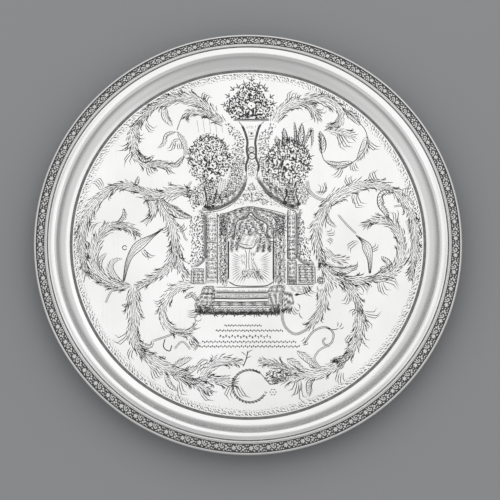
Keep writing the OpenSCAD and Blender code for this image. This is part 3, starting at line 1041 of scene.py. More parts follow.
def edge_fringe():
    """A border of short forward-leaning cuts just inside the floor's edge, in three rows."""
    rng = random.Random(32)
    step = TAU / FRINGE_COUNT
    for i in range(FRINGE_COUNT):
        for row_r, length, width in FRINGE_ROWS:
            a = TAU * i / FRINGE_COUNT + rng.uniform(-0.3, 0.3) * step
            r = row_r + rng.uniform(-0.6, 0.6)
            lean = rng.uniform(0.2, 0.9)
            hook((r * math.cos(a), r * math.sin(a)), a + math.pi + lean, length * rng.uniform(0.7, 1.2), 0.5,
                 width, parts=2)

# ---------------------------------------------------------------- the tray's mesh

GROOVE_DEPTH = 0.32
# A triangle whose middle is deeper than this is part of a groove
GROOVE_STARTS = 0.008
# Corners of strokes closer together than this become one
MERGE_DISTANCE = 0.02
FLOOR_SEGMENTS = 360
# The grid that finds the strokes near a point: the size of a cell, and how many cells each way
CELL = 1.6
GRID_HALF = 4096


def cell_key(column, row):
    """One whole number for each cell of the grid."""
    return (column + GRID_HALF) * 2 * GRID_HALF + row + GRID_HALF


def near_pairs(points, a, b, reach):
    """Point numbers and segment numbers, for each point that shares a cell with the segment a to b."""
    low = np.floor((np.minimum(a, b) - reach[:, None]) / CELL).astype(int)
    high = np.floor((np.maximum(a, b) + reach[:, None]) / CELL).astype(int)
    wide, tall = (high - low + 1).T
    count = wide * tall
    seg = np.repeat(np.arange(len(a)), count)
    place = np.arange(len(seg)) - np.repeat(np.cumsum(count) - count, count)
    key = cell_key(low[seg, 0] + place % wide[seg], low[seg, 1] + place // wide[seg])
    order = np.argsort(key, kind="stable")
    key, seg = key[order], seg[order]
    spot = cell_key(*np.floor(points / CELL).astype(int).T)
    first = np.searchsorted(key, spot, "left")
    number = np.searchsorted(key, spot, "right") - first
    who = np.repeat(np.arange(len(points)), number)
    nth = np.arange(len(who)) - np.repeat(np.cumsum(number) - number, number)
    return who, seg[nth + np.repeat(first, number)]


def groove_depth(points):
    """How deep each point of the floor lies in the strokes: a V across each, cut off at GROOVE_DEPTH."""
    a = np.concatenate([curve[:-1] for curve, half in STROKES])
    b = np.concatenate([curve[1:] for curve, half in STROKES])
    half_a = np.concatenate([half[:-1] for curve, half in STROKES])
    half_b = np.concatenate([half[1:] for curve, half in STROKES])
    who, which = near_pairs(points, a, b, np.maximum(half_a, half_b))
    along = b[which] - a[which]
    t = ((points[who] - a[which]) * along).sum(1) / np.maximum((along * along).sum(1), 1e-12)
    t = np.clip(t, 0, 1)
    away = np.linalg.norm(points[who] - a[which] - along * t[:, None], axis=1)
    deep = np.zeros(len(points))
    np.maximum.at(deep, who, half_a[which] * (1 - t) + half_b[which] * t - away)
    return np.clip(deep, 0, GROOVE_DEPTH)


def engraved_disc(radius):
    """The floor cut into triangles along every stroke.

    Returns points, triangles, depths, whether each triangle is in a groove, and the rim's point numbers.
    """
    angle = np.arange(FLOOR_SEGMENTS) * TAU / FLOOR_SEGMENTS
    coords = [Vector((radius * math.cos(a), radius * math.sin(a))) for a in angle]
    edges = [(i, (i + 1) % FLOOR_SEGMENTS) for i in range(FLOOR_SEGMENTS)]
    for curve, half in STROKES:
        across = side_of(heading(curve)) * half[:, None]
        left, right = curve + across, curve - across
        first = len(coords)
        outline = [curve[0], *left[1:-1], curve[-1], *right[-2:0:-1]]
        coords += [Vector(p) for p in outline] + [Vector(p) for p in curve[1:-1]]
        edges += [(first + i, first + (i + 1) % len(outline)) for i in range(len(outline))]
    points, _, faces, origin, _, _ = delaunay_2d_cdt(coords, edges, [], 0, MERGE_DISTANCE, True)
    points = np.array([p[:] for p in points])
    faces = np.array(faces)
    p, q, r = points[faces[:, 0]], points[faces[:, 1]], points[faces[:, 2]]
    area = (q[:, 0] - p[:, 0]) * (r[:, 1] - p[:, 1]) - (q[:, 1] - p[:, 1]) * (r[:, 0] - p[:, 0])
    faces[area < 0] = faces[area < 0][:, ::-1]
    rim = {i: k for k, ids in enumerate(origin) for i in ids if i < FLOOR_SEGMENTS}
    groove = groove_depth((p + q + r) / 3) > GROOVE_STARTS
    return points, faces, groove_depth(points), groove, [rim[i] for i in range(FLOOR_SEGMENTS)]


def ring_points(profile, segments):
    """Points of a profile of (radius, height) turned round the axis, ring by ring."""
    a = np.arange(segments) * TAU / segments
    rows = [np.stack([r * np.cos(a), r * np.sin(a), np.full(segments, z)], 1) for r, z in profile]
    return np.concatenate(rows)


def ring_faces(rows, segments, first=0, closed=False):
    """Quads between neighbouring rings, and from the last to the first where the profile is closed."""
    out = []
    for j in range(rows if closed else rows - 1):
        k = (j + 1) % rows
        for i in range(segments):
            n = (i + 1) % segments
            out.append((first + j * segments + i, first + k * segments + i,
                        first + k * segments + n, first + j * segments + n))
    return out


def make_piece(name, points_mm, faces, materials, index=None, smooth_faces=True):
    """A mesh object from points in mm, with its materials and one material number per face."""
    mesh = bpy.data.meshes.new(name)
    mesh.from_pydata((np.asarray(points_mm) * MM).tolist(), [], [list(map(int, f)) for f in faces])
    for material in materials:
        mesh.materials.append(material)
    if index is not None:
        mesh.polygons.foreach_set("material_index", np.asarray(index, np.int32))
    flags = np.full(len(mesh.polygons), True) if smooth_faces is True else np.asarray(smooth_faces)
    mesh.polygons.foreach_set("use_smooth", flags)
    mesh.validate()
    mesh.update()
    obj = bpy.data.objects.new(name, mesh)
    bpy.context.scene.collection.objects.link(obj)
    return obj


def bouge_profile():
    """The hollow arc of the bouge, its round shoulder and the shoulder's fall: (radius, height)."""
    points = []
    for i in range(2, BOUGE_STEPS + 1):
        a = BOUGE_START + (BOUGE_SLOPE - BOUGE_START) * i / BOUGE_STEPS
        points.append((FLOOR_R + BOUGE_R * (math.sin(a) - math.sin(BOUGE_START)),
                       FLOOR_Z + BOUGE_R * (math.cos(BOUGE_START) - math.cos(a))))
    for i in range(BOUGE_STEPS - 1, -1, -1):
        a = BOUGE_SLOPE * i / BOUGE_STEPS
        points.append((CREST_R - SHOULDER_R * math.sin(a), CREST_Z - SHOULDER_R * (1 - math.cos(a))))
    for t in (0.2, 0.4, 0.6, 0.8, 0.95):
        points.append((CREST_R + SHOULDER_W * t, CREST_Z - SHOULDER_H * (1 - math.cos(math.pi * t)) / 2))
    return points


def tray_profile():
    """The sheet from the edge of the floor over bouge and rim and back underneath: (radius, height)."""
    bouge = bouge_profile()
    outer = [(SLOPE_R - 0.3, LAND_Z), (SLOPE_R, LAND_Z - 0.03), (STRIP_OUT_R, SHEET_EDGE_Z)]
    top = [(FLOOR_R - 1.9, FLOOR_Z - 0.25), CHASED_BOTTOM, (FLOOR_R + 0.7, FLOOR_Z - 0.15), *bouge]
    top += [(LAND_R, LAND_Z - 0.02), CREASE_BOTTOM, (BEAD_IN_R, LAND_Z), *outer]
    # every other point of the bouge will do underneath
    under = [(r, z - SHEET_T) for r, z in (*outer[::-1], *bouge[::-2])]
    return top + under + [(FLOOR_R + 0.4, UNDER_Z), (FLOOR_R * 0.7, UNDER_Z), (FLOOR_R * 0.35, UNDER_Z)]


def make_tray():
    """The sheet: the engraved floor, sewn to the turned bouge and rim and to the underside."""
    inner_r = FLOOR_R - CHASED_W
    points, faces, deep, groove, rim = engraved_disc(inner_r)
    floor = np.column_stack([points, FLOOR_Z - deep])
    profile = tray_profile()
    first = len(floor)
    lathe = ring_points(profile, FLOOR_SEGMENTS)
    middle = first + len(lathe)
    everything = np.concatenate([floor, lathe, [[0, 0, UNDER_Z]]])
    seam = [(rim[i], first + i, first + (i + 1) % FLOOR_SEGMENTS, rim[(i + 1) % FLOOR_SEGMENTS])
            for i in range(FLOOR_SEGMENTS)]
    sides = ring_faces(len(profile), FLOOR_SEGMENTS, first)
    last = middle - FLOOR_SEGMENTS
    hub = [(last + i, middle, last + (i + 1) % FLOOR_SEGMENTS) for i in range(FLOOR_SEGMENTS)]
    faces = faces.tolist() + seam + sides + hub
    # The chased line and the crease take the chased_line material, which paints shade into them
    bottoms = (CHASED_BOTTOM, CREASE_BOTTOM)
    cut_row = [a in bottoms or b in bottoms for a, b in zip(profile, profile[1:])]
    cut_ring = np.repeat([True] + cut_row + [False], FLOOR_SEGMENTS)
    index = np.concatenate([groove.astype(int), np.where(cut_ring, 3, 2)])
    rounded = np.concatenate([np.zeros(len(groove), bool), ~cut_ring])
    tray = make_piece("engraved_tray", everything, faces,
                      [MATERIALS["sheet"], MATERIALS["groove"], MATERIALS["bouge"], MATERIALS["chased"]],
                      index, rounded)
    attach(tray, "root")
    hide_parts("tray_body")
    return tray


# ---------------------------------------------------------------- the rolled border and the wires

MOTIFS = 76
MOTIF_COLUMNS = 44
STRIP_ROWS = 20
RELIEF = 0.5
FILLET_W = 0.25
FILLET_H = 0.35
BEAD_PITCH = 1.9
BEAD_COLUMNS = 6
# Leaves and lobes of one repeat: middle (along, across), half length, half width and turn
MOTIF_LEAVES = (
    (14.6, 1.7, 1.6, 1.3, 0.5), (14.5, -1.6, 1.5, 1.25, -0.4), (16.6, 0.1, 1.5, 1.1, 0.0),
    (7.2, 2.9, 1.5, 0.8, 0.6), (11.9, -3.0, 1.3, 0.8, 0.4), (12.4, 3.3, 1.2, 0.7, -0.5),
    (18.2, 2.9, 1.2, 0.8, -0.7), (18.0, -2.9, 1.3, 0.8, 0.7), (0.4, 3.4, 0.8, 0.7, 0.0),
    (0.3, -3.2, 0.9, 0.7, 0.0), (6.6, -3.5, 0.8, 0.6, 0.0), (16.0, 3.7, 0.7, 0.5, 0.0),
    (19.4, 0.2, 0.9, 0.8, 0.0),
)


def bump(x, y, cx, cy, rx, ry, angle=0.0):
    """A dome of height 1 over an ellipse."""
    c, s = math.cos(angle), math.sin(angle)
    u, v = ((x - cx) * c + (y - cy) * s) / rx, (-(x - cx) * s + (y - cy) * c) / ry
    return np.sqrt(np.clip(1 - u * u - v * v, 0, 1))


def scroll(x, y, points, thick):
    """A raised line of a given thickness through points, rounded on top."""
    best = np.zeros_like(x)
    for (x0, y0), (x1, y1) in zip(points, points[1:]):
        dx, dy = x1 - x0, y1 - y0
        t = np.clip(((x - x0) * dx + (y - y0) * dy) / (dx * dx + dy * dy), 0, 1)
        away = np.hypot(x - x0 - dx * t, y - y0 - dy * t)
        best = np.maximum(best, np.sqrt(np.clip(1 - (away / thick) ** 2, 0, 1)))
    return best


def motif_relief(x, y):
    """One repeat of the rolled pattern, in mm: a rosette, two curling stems, a trefoil and small leaves."""
    h = np.zeros_like(x)
    for k in range(6):
        a = TAU * k / 6 + 0.3
        h = np.maximum(h, bump(x, y, 3.6 + 1.75 * math.cos(a), 1.75 * math.sin(a), 1.25, 0.85, a))
    h = np.maximum(h, 0.95 * bump(x, y, 3.6, 0, 1.0, 1.0))
    for stem in ([(6.9, -2.2), (8.0, 0.1), (9.9, 1.5), (11.4, 0.9), (11.5, -0.6)],
                 [(9.6, -3.3), (8.9, -2.0), (9.8, -1.0)]):
        h = np.maximum(h, 0.95 * scroll(x, y, stem, 0.75))
    for cx, cy, rx, ry, angle in MOTIF_LEAVES:
        h = np.maximum(h, bump(x, y, cx, cy, rx, ry, angle))
    return h


def make_border():
    """The rolled strip: the pattern's height at each point, repeated round the rim."""
    width = STRIP_OUT_R - STRIP_IN_R
    columns = MOTIFS * MOTIF_COLUMNS
    period = TAU * (STRIP_OUT_R - width / 2) / MOTIFS
    x, v = np.meshgrid(np.arange(MOTIF_COLUMNS) / MOTIF_COLUMNS * period, np.linspace(0, 1, STRIP_ROWS + 1))
    y = (v - 0.5) * width
    h = np.maximum.reduce([motif_relief(x, y), motif_relief(x + period, y), motif_relief(x - period, y)])
    fillet = np.clip(1.6 - np.abs(np.abs(y) - width / 2 + FILLET_W) / FILLET_W, 0, 1)
    h = np.maximum(h, FILLET_H * fillet)
    relief = np.tile(h, (1, MOTIFS))
    radius = STRIP_IN_R + width * np.linspace(0, 1, STRIP_ROWS + 1)
    ground = STRIP_IN_TOP + (STRIP_OUT_TOP - STRIP_IN_TOP) * np.linspace(0, 1, STRIP_ROWS + 1) - RELIEF
    angle = np.arange(columns) * TAU / columns
    z = ground[:, None] + RELIEF * relief
    top = np.stack([radius[:, None] * np.cos(angle), radius[:, None] * np.sin(angle), z], -1).reshape(-1, 3)
    below = [(STRIP_OUT_R, STRIP_OUT_TOP - STRIP_T), (STRIP_IN_R, STRIP_IN_TOP - STRIP_T)]
    points = np.concatenate([top, ring_points(below, columns)])
    rows = STRIP_ROWS + 3
    strip = make_piece("rolled_border", points, ring_faces(rows, columns, closed=True), [MATERIALS["border"]])
    level = strip.data.attributes.new("relief", "FLOAT", "POINT")
    heights = np.concatenate([relief.ravel(), np.zeros(len(below) * columns)])
    level.data.foreach_set("value", heights.astype(np.float32))
    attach(strip, "root")
    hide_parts("border_strip")


def make_beads():
    """The inner wire: a run of squashed beads on a narrow flat base."""
    wire_r = (BEAD_OUT_R - BEAD_IN_R) / 2
    middle = BEAD_IN_R + wire_r
    beads = int(round(TAU * middle / BEAD_PITCH))
    columns = beads * BEAD_COLUMNS
    x = (np.arange(columns) % BEAD_COLUMNS) / BEAD_COLUMNS * 2 - 1
    swell = np.maximum(0.7, np.sqrt(np.clip(1 - (x * 0.98) ** 2, 0, 1)) * 0.4 + 0.6)
    angle = np.arange(columns) * TAU / columns
    turn = np.linspace(0, math.pi, 9)
    r = middle + wire_r * np.cos(turn)[:, None] * swell
    z = LAND_Z + wire_r * np.sin(turn)[:, None] * swell
    points = np.stack([r * np.cos(angle), r * np.sin(angle), z], -1).reshape(-1, 3)
    wire = make_piece("beaded_wire", points, ring_faces(9, columns, closed=True), [MATERIALS["wire"]])
    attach(wire, "root")
    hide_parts("bead_wire")


def make_edge():
    """The deep outer wire: its crest is off centre, and its outside is slightly hollow."""
    wire_r = (RIM_R - STRIP_OUT_R) / 2
    middle = STRIP_OUT_R + wire_r
    crest = STRIP_OUT_R + 0.6 * wire_r
    up = []
    for a in np.linspace(0, math.pi, 15):
        reach = (1.4 if math.cos(a) > 0 else 0.6) * wire_r
        up.append((crest + reach * math.cos(a), EDGE_HIGH[2] - wire_r * (1 - math.sin(a))))
    down = [(middle - wire_r * math.cos(a), EDGE_LOW[2] + wire_r - wire_r * math.sin(a))
            for a in np.linspace(0, math.pi, 15)]
    waist = (RIM_R - 0.25, (EDGE_LOW[2] + EDGE_HIGH[2]) / 2)
    profile = up + down + [waist]
    # The inner flank, which faces the border, takes the wire_flank material: painted shade
    shaded_flank = [r < crest - 0.2 * wire_r and z > EDGE_HIGH[2] - 3 * wire_r for r, z in profile]
    wire = make_piece("edge_moulding", ring_points(profile, FLOOR_SEGMENTS),
                      ring_faces(len(profile), FLOOR_SEGMENTS, closed=True),
                      [MATERIALS["edge"], MATERIALS["flank"]], np.repeat(shaded_flank, FLOOR_SEGMENTS))
    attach(wire, "root")
    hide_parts("edge_wire")


# ---------------------------------------------------------------- the feet and their solder plates

CORNERS = ("front_right", "front_left", "back_left", "back_right")
LEG_TOP = box_mm("foot_front_right")[1][2]
PAD_R = 8
PAD_H = 3.4
LEG_W = 14
LEG_T = 7
LEG_SINK = 0.2
ROOT_L = 15
BEND_R = (LEG_TOP - PAD_H + LEG_SINK - LEG_T) / 2
BEND_Z = LEG_TOP - BEND_R - LEG_T / 2
TOE_X = 1.5
TOE_R = 4.5
PLATE_L = 52
PLATE_W = 30
VEIN_PITCH = 6.5
SECTION_POINTS = 40


def leg_stations():
    """Along a leg from its root to the toe: middle (outwards, up), width, thickness and relief."""
    rows = []
    for u in np.linspace(0, 1, 9):
        thick = 1 + (LEG_T - 1) * u
        width = 4 + (LEG_W - 4) * u ** 0.7
        rows.append((-2 * BEND_R - ROOT_L * (1 - u), LEG_TOP - thick / 2, width, thick, 0.0))
    for u in np.linspace(0.1, 1, 14):
        a = math.pi / 2 * (1 - u)
        rows.append((-2 * BEND_R + BEND_R * math.cos(a), BEND_Z + BEND_R * math.sin(a),
                     LEG_W - 5.5 * u ** 1.3, LEG_T - 2.2 * u, min(1, 2.5 * u)))
    for u in np.linspace(0.08, 1, 14):
        a = math.pi * (1 + u / 2)
        rows.append((BEND_R * math.cos(a), BEND_Z + BEND_R * math.sin(a), 8.5 + 2.5 * u ** 2,
                     LEG_T - 2.2 * (1 - u), 1 - u))
    rows.append((TOE_X, BEND_Z - BEND_R, 11, 5, 0.0))
    return rows


def swept(rows, ribs):
    """A closed solid along stations in the upright plane, with raised ribs on its left-hand face."""
    line = np.array([row[:2] for row in rows])
    left = side_of(heading(line))
    a = np.arange(SECTION_POINTS) * TAU / SECTION_POINTS
    c, s = np.cos(a), np.sin(a)
    points = []
    for (x, z, width, thick, relief), n in zip(rows, left):
        across = width / 2 * np.sign(c) * np.abs(c) ** 0.75
        out = thick / 2 * np.sign(s) * np.abs(s) ** 0.75
        crown = np.zeros_like(across)
        for rib in ribs:
            crown += np.exp(-((across - rib * width) / 0.9) ** 2)
        out += relief * np.where(s > 0, 0.7 * crown - 0.7, 0)
        points.append(np.stack([x + n[0] * out, across, z + n[1] * out], 1))
    count = len(rows)
    faces = ring_faces(count, SECTION_POINTS)
    faces.append(tuple(range(SECTION_POINTS)))
    faces.append(tuple(reversed(range((count - 1) * SECTION_POINTS, count * SECTION_POINTS))))
    return np.concatenate(points), faces


def volute():
    """The toe's scroll: a band wound into a spiral whose eye stands out at both sides."""
    rows = []
    for u in np.linspace(0, 1, 46):
        a = math.radians(-110 + 600 * u)
        r = (TOE_R - 0.75) * (1 - u) + 0.5 * u
        rows.append((TOE_X + r * math.cos(a), PAD_H - LEG_SINK + TOE_R + r * math.sin(a),
                     LEG_W - 2.6 + 2.2 * u, 1.5 - 0.5 * u, 0.0))
    return swept(rows, ())


def pad():
    """The turned pad that the foot stands on."""
    profile = [(PAD_R - 0.8, 0), (PAD_R - 0.25, 0.25), (PAD_R, 0.9), (PAD_R - 0.2, 1.7), (PAD_R - 0.9, 2.2),
               (PAD_R - 1.5, 2.4), (PAD_R - 1.8, 3.0), (PAD_R - 2.5, PAD_H)]
    segments = 48
    rows = len(profile)
    points = ring_points(profile, segments)
    faces = [tuple(reversed(f)) for f in ring_faces(rows, segments)]
    faces.append(tuple(reversed(range(segments))))
    faces.append(tuple(range((rows - 1) * segments, rows * segments)))
    return points, faces


def join(parts):
    """One list of points and one of faces from several solids."""
    points, faces, first = [], [], 0
    for part_points, part_faces in parts:
        points.append(part_points)
        faces += [tuple(first + i for i in face) for face in part_faces]
        first += len(part_points)
    return np.concatenate(points), faces


def turned(points, angle, place):
    """Points turned about Z and moved to a place, in mm."""
    c, s = math.cos(angle), math.sin(angle)
    x, y, z = points.T
    return np.stack([x * c - y * s + place[0], x * s + y * c + place[1], z + place[2]], 1)


def make_foot(corner):
    """One foot: its leg, the scroll of its toe and its pad, where the mount stands."""
    place = mount_mm("rest_" + corner)
    points, faces = join([swept(leg_stations(), (-0.3, 0, 0.3)), volute(), pad()])
    angle = math.atan2(place[1], place[0])
    foot = make_piece("cast_foot_" + corner, turned(points, angle, place), faces, [MATERIALS["cast"]])
    foot.data.set_sharp_from_angle(angle=math.radians(50))
    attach(foot, "root")
    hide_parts("foot_" + corner)


def leaf_surfaces(low_z, high_z):
    """The ribbed underside and the flat top of a leaf-shaped plate, as grids of points in mm."""
    leaf_r = ((PLATE_L / 2) ** 2 + (PLATE_W / 2) ** 2) / PLATE_W
    x, v = np.meshgrid(np.linspace(-0.975, 0.975, 79) * PLATE_L / 2, np.linspace(-1, 1, 41), indexing="ij")
    half = np.sqrt(leaf_r ** 2 - x * x) - (leaf_r - PLATE_W / 2)
    half = half * (1 - 0.09 * np.abs(np.sin(x * math.pi / VEIN_PITCH)))
    y = v * half
    side = (x + 0.8 * np.abs(y)) % VEIN_PITCH - VEIN_PITCH / 2
    veins = np.maximum(np.exp(-(y / 1.0) ** 2), 0.8 * np.exp(-(side / 0.7) ** 2) * (1 - v * v))
    edge = np.clip((np.abs(v) - 0.8) / 0.2, 0, 1) ** 2
    under = low_z + 0.45 * (1 - veins) + 0.35 * edge
    return np.stack([x, y, under], -1), np.stack([x, y, np.full_like(x, high_z)], -1)


def slab_faces(rows, columns):
    """Faces of a closed slab between two grids of points, the lower one first."""
    faces = []
    above = rows * columns
    for i in range(rows - 1):
        for j in range(columns - 1):
            k = i * columns + j
            faces.append((k, k + 1, k + columns + 1, k + columns))
            faces.append((above + k, above + k + columns, above + k + columns + 1, above + k + 1))
    border = [i * columns for i in range(rows)]
    border += [(rows - 1) * columns + j for j in range(1, columns)]
    border += [i * columns + columns - 1 for i in range(rows - 2, -1, -1)]
    border += list(range(columns - 2, 0, -1))
    for a, b in zip(border, border[1:] + border[:1]):
        faces.append((a, b, above + b, above + a))
    return faces


def make_plate(corner):
    """A leaf-shaped plate with a midrib and side veins raised on its underside."""
    low, high = box_mm("foot_plate_" + corner)
    place = [(low[0] + high[0]) / 2, (low[1] + high[1]) / 2, 0]
    under, top = leaf_surfaces(low[2], high[2])
    points = np.concatenate([under.reshape(-1, 3), top.reshape(-1, 3)])
    plate = make_piece("leaf_plate_" + corner, turned(points, math.atan2(place[1], place[0]), place),
                       slab_faces(*under.shape[:2]), [MATERIALS["cast"]])
    plate.data.set_sharp_from_angle(angle=math.radians(50))
    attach(plate, "root")
    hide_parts("foot_plate_" + corner)


# ---------------------------------------------------------------- materials


class Nodes:
    """Short helpers round one material's node tree."""

    def __init__(self, name):
        self.material = bpy.data.materials.new(name)
        self.material.use_nodes = True
        self.tree = self.material.node_tree
        self.shader = self.tree.nodes["Principled BSDF"]
        self.place = self.add("ShaderNodeTexCoord").outputs["Object"]

    def add(self, kind, **settings):
        """A new node with its settings."""
        node = self.tree.nodes.new(kind)
        for key, value in settings.items():
            setattr(node, key, value)
        return node

    def link(self, a, b):
        """Connects an output to an input."""
        self.tree.links.new(a, b)

    def noise(self, scale, detail=3.0, stretch=(1, 1, 1), turn=0.0):
        """Noise in metres, stretched along an axis and turned about Z."""
        mapping = self.add("ShaderNodeMapping")
        mapping.inputs["Scale"].default_value = stretch
        mapping.inputs["Rotation"].default_value = (0, 0, turn)
        self.link(self.place, mapping.inputs["Vector"])
        node = self.add("ShaderNodeTexNoise")
        node.inputs["Scale"].default_value = scale
        node.inputs["Detail"].default_value = detail
        self.link(mapping.outputs["Vector"], node.inputs["Vector"])
        return node.outputs["Fac"]

    def ring_noise(self, scale, drift=0.05):
        """Noise in rings round the Z axis, broken up along each ring by drift."""
        flat = self.add("ShaderNodeVectorMath", operation="MULTIPLY")
        flat.inputs[1].default_value = (1, 1, 0)
        self.link(self.place, flat.inputs[0])
        radius = self.add("ShaderNodeVectorMath", operation="LENGTH")
        self.link(flat.outputs["Vector"], radius.inputs[0])
        shift = self.add("ShaderNodeVectorMath", operation="SCALE")
        shift.inputs["Scale"].default_value = drift
        self.link(flat.outputs["Vector"], shift.inputs[0])
        where = self.add("ShaderNodeCombineXYZ")
        self.link(radius.outputs["Value"], where.inputs["Z"])
        total = self.add("ShaderNodeVectorMath", operation="ADD")
        self.link(shift.outputs["Vector"], total.inputs[0])
        self.link(where.outputs["Vector"], total.inputs[1])
        node = self.add("ShaderNodeTexNoise")
        node.inputs["Scale"].default_value = scale
        node.inputs["Detail"].default_value = 2.0
        self.link(total.outputs["Vector"], node.inputs["Vector"])
        return node.outputs["Fac"]

    def range(self, value, low, high, to_low, to_high):
        """A value taken from one range to another, and held within it."""
        node = self.add("ShaderNodeMapRange")
        for key, number in zip(("From Min", "From Max", "To Min", "To Max"), (low, high, to_low, to_high)):
            node.inputs[key].default_value = number
        self.link(value, node.inputs["Value"])
        return node.outputs["Result"]

    def math(self, operation, a, b):
        """The result of an operation on two outputs or numbers."""
        node = self.add("ShaderNodeMath", operation=operation)
        for slot, value in zip(node.inputs, (a, b)):
            if isinstance(value, (int, float)):
                slot.default_value = value
            else:
                self.link(value, slot)
        return node.outputs[0]

    def blend(self, factor, a, b):
        """A colour between a and b."""
        node = self.add("ShaderNodeMix", data_type="RGBA")
        self.link(factor, node.inputs["Factor"])
        for slot, value in ((node.inputs[6], a), (node.inputs[7], b)):
            if isinstance(value, tuple):
                slot.default_value = (*value, 1)
            else:
                self.link(value, slot)
        return node.outputs[2]

    def bump(self, height, strength, distance):
        """Makes a height into the shader's normal."""
        node = self.add("ShaderNodeBump")
        node.inputs["Strength"].default_value = strength
        node.inputs["Distance"].default_value = distance
        self.link(height, node.inputs["Height"])
        self.link(node.outputs["Normal"], self.shader.inputs["Normal"])

    def set(self, **values):
        """Sets the shader's inputs by name, each to a number, a colour or an output."""
        for key, value in values.items():
            slot = self.shader.inputs[key.replace("_", " ").title().replace("Ior", "IOR")]
            if isinstance(value, (int, float)):
                slot.default_value = value
            elif isinstance(value, tuple):
                slot.default_value = (*value, 1)
            else:
                self.link(value, slot)


def polished_silver(name, tone, rough, wave, scratch, rings=0.0):
    """Hand-polished silver: slow waves, fine crossing scratches, polishing rings, a faint warm tarnish."""
    m = Nodes(name)
    fine = m.noise(420, 2, (1, 0.06, 1), 0.5)
    cross = m.noise(380, 2, (1, 0.05, 1), 2.0)
    cloud = m.noise(14, 4)
    lines = m.math("MAXIMUM", m.range(fine, 0.62, 0.75, 0, 1), m.range(cross, 0.64, 0.78, 0, 1))
    slow = m.noise(9, 2)
    height = m.math("ADD", m.math("MULTIPLY", slow, wave), m.math("MULTIPLY", lines, scratch))
    if rings:
        height = m.math("ADD", height, m.math("MULTIPLY", m.ring_noise(170), rings))
    m.bump(height, 1.0, 0.001)
    cloudy = m.range(cloud, 0.3, 0.7, rough * 0.85, rough * 1.2)
    dull = m.math("ADD", cloudy, m.math("MULTIPLY", lines, 0.06))
    warm = tuple(channel * share for channel, share in zip(tone, (0.965, 0.96, 0.95)))
    m.set(metallic=1.0, roughness=dull, base_color=m.blend(m.range(cloud, 0.35, 0.75, 0, 1), tone, warm))
    return m.material


def tarnish_and_shade_silver(name, dark_tone, light_tone, metal, rough):
    """Cut or sunk silver, dark with old polish and tarnish, and darkened further as painted shade; also the
    painted shade on the edge wire's inner flank.
    """
    m = Nodes(name)
    grime = m.noise(160, 3)
    m.set(metallic=metal, roughness=m.range(grime, 0.3, 0.7, rough, rough + 0.2),
          base_color=m.blend(m.range(grime, 0.35, 0.65, 0, 1), dark_tone, light_tone))
    m.bump(grime, 0.3, 0.0004)
    return m.material


def border_silver():
    """Dark matt ground that turns to bright metal on the raised pattern."""
    m = Nodes("rolled_border_silver")
    relief = m.add("ShaderNodeAttribute", attribute_name="relief").outputs["Fac"]
    grain = m.noise(900, 3)
    raised = m.range(m.math("ADD", relief, m.math("MULTIPLY", grain, 0.3)), 0.42, 0.8, 0, 1)
    m.set(metallic=1.0, roughness=m.range(raised, 0, 1, 0.55, 0.3),
          base_color=m.blend(raised, (0.13, 0.13, 0.128), (0.95, 0.95, 0.945)))
    m.bump(grain, 0.35, 0.0003)
    return m.material


def pale_paper():
    """The studio's sweep: pale matt paper with a faint grain."""
    m = Nodes("pale_paper")
    fibre = m.noise(350, 4)
    cloud = m.noise(1.2, 2)
    tone = m.math("ADD", m.math("MULTIPLY", fibre, 0.15), m.math("MULTIPLY", cloud, 0.85))
    m.set(metallic=0.0, roughness=m.range(fibre, 0.3, 0.7, 0.8, 0.92),
          base_color=m.blend(tone, (0.345, 0.352, 0.362), (0.375, 0.381, 0.390)))
    m.bump(fibre, 0.15, 0.0004)
    return m.material


# ---------------------------------------------------------------- studio


def make_stage():
    """A large sheet of paper under the tray."""
    size = 6.0
    corners = [(-size, -size, 0), (size, -size, 0), (size, size, 0), (-size, size, 0)]
    floor = make_piece("studio_floor", np.array(corners) / MM, [(0, 1, 2, 3)], [MATERIALS["paper"]])


def soft_light(name, place, target, width, depth, watts):
    """A rectangular softbox that the camera doesn't see."""
    data = bpy.data.lights.new(name, "AREA")
    data.shape = "RECTANGLE"
    data.size, data.size_y = width, depth
    data.energy = watts
    lamp = bpy.data.objects.new(name, data)
    lamp.location = place
    lamp.rotation_euler = (Vector(target) - Vector(place)).to_track_quat("-Z", "Y").to_euler()
    lamp.visible_camera = False
    bpy.context.scene.collection.objects.link(lamp)


def make_world():
    """Grey surroundings: dimmest at the horizon, brighter overhead and brightest to the left and right."""
    world = bpy.data.worlds.new("studio_world")
    world.use_nodes = True
    tree = world.node_tree
    place = tree.nodes.new("ShaderNodeTexCoord")
    parts = tree.nodes.new("ShaderNodeSeparateXYZ")
    tree.links.new(place.outputs["Generated"], parts.inputs[0])

    def ramp(value, low, high, to_low, to_high):
        node = tree.nodes.new("ShaderNodeMapRange")
        node.interpolation_type = "SMOOTHSTEP"
        for key, number in zip(("From Min", "From Max", "To Min", "To Max"), (low, high, to_low, to_high)):
            node.inputs[key].default_value = number
        tree.links.new(value, node.inputs["Value"])
        return node.outputs["Result"]

    def join(operation, a, b=None):
        node = tree.nodes.new("ShaderNodeMath")
        node.operation = operation
        tree.links.new(a, node.inputs[0])
        if b is not None:
            tree.links.new(b, node.inputs[1])
        return node.outputs[0]

    overhead = ramp(parts.outputs["Z"], -0.05, 0.55, WORLD_LOW, WORLD_HIGH)
    aside = ramp(join("ABSOLUTE", parts.outputs["X"]), 0.15, 0.6, 0, WORLD_SIDES)
    raised = ramp(parts.outputs["Z"], 0.15, 0.6, 0, 1)
    level = join("ADD", overhead, join("MULTIPLY", aside, raised))
    tree.links.new(level, tree.nodes["Background"].inputs["Strength"])
    tree.nodes["Background"].inputs["Color"].default_value = (1, 1, 1, 1)
    bpy.context.scene.world = world


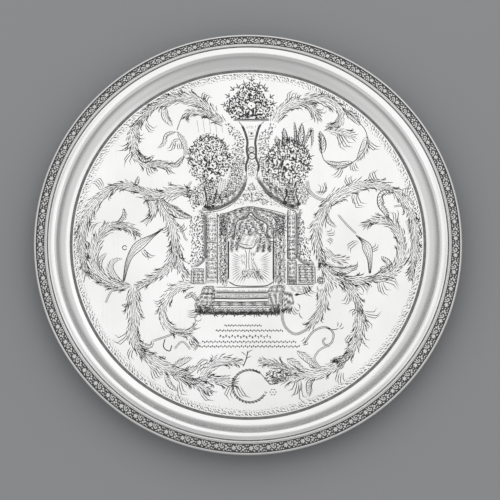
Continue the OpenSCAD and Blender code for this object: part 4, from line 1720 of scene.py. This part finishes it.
def make_camera():
    """A long lens that looks down at the tray from the front."""
    tilt = math.radians(CAMERA_ELEVATION)
    aim = Vector((0, 0, (FLOOR_Z + LAND_Z) / 2 * MM))
    data = bpy.data.cameras.new("camera")
    data.lens, data.sensor_width = CAMERA_LENS, 36
    data.clip_end = 50
    data.shift_x, data.shift_y = CAMERA_SHIFT
    camera = bpy.data.objects.new("camera", data)
    camera.location = aim + CAMERA_DISTANCE * Vector((0, -math.cos(tilt), math.sin(tilt)))
    camera.rotation_euler = (aim - camera.location).to_track_quat("-Z", "Y").to_euler()
    bpy.context.scene.collection.objects.link(camera)
    bpy.context.scene.camera = camera


# ---------------------------------------------------------------- making it all

WORLD_LOW = 0.26
WORLD_HIGH = 0.5
WORLD_SIDES = 0.2
CAMERA_ELEVATION = 79
CAMERA_LENS = 200
CAMERA_DISTANCE = 3.24
CAMERA_SHIFT = (0.004, -0.0162)

bpy.context.scene.view_settings.view_transform = "Standard"
make_camera()
MATERIALS = {
    "sheet": polished_silver("engraved_sheet_silver", (0.95, 0.95, 0.948), 0.26, 0.35, 0.02),
    "bouge": polished_silver("bouge_silver", (0.93, 0.93, 0.928), 0.22, 0.2, 0.01, 0.2),
    "wire": polished_silver("wire_silver", (0.95, 0.95, 0.948), 0.14, 0.1, 0.02),
    "edge": polished_silver("edge_silver", (0.78, 0.78, 0.778), 0.3, 0.1, 0.02),
    "cast": polished_silver("cast_silver", (0.90, 0.90, 0.897), 0.24, 0.3, 0.02),
    # Engraved lines: tarnish in the cuts, darkened further as painted shade
    "groove": tarnish_and_shade_silver("engraved_line", (0.03, 0.03, 0.031), (0.09, 0.089, 0.087), 0.7, 0.4),
    # Chased line round the floor and crease inside the beads: tarnish with painted shade
    "chased": tarnish_and_shade_silver("chased_line", (0.2, 0.2, 0.2), (0.32, 0.32, 0.317), 0.3, 0.6),
    # Inner flank of the edge wire: painted shade
    "flank": tarnish_and_shade_silver("wire_flank", (0.34, 0.34, 0.338), (0.5, 0.5, 0.496), 0.7, 0.4),
    "border": border_silver(),
    "paper": pale_paper(),
}

for draw in (scroll_upper_left, scroll_mid_left, scroll_lower_left, scroll_upper_right, scroll_mid_right,
             scroll_lower_right, bottom_ring, top_bouquet, left_bouquet, right_bouquet, pinnacle, gable,
             columns, arch, steps, bushes, ornament_rows, edge_fringe):
    draw()
make_tray()
make_border()
make_beads()
make_edge()
for corner in CORNERS:
    make_foot(corner)
    make_plate(corner)

make_stage()
soft_light("overhead_softbox", place=(0.08, 0.72, 1.45), target=(0, 0, 0), width=1.4, depth=1.85, watts=4.3)
make_world()
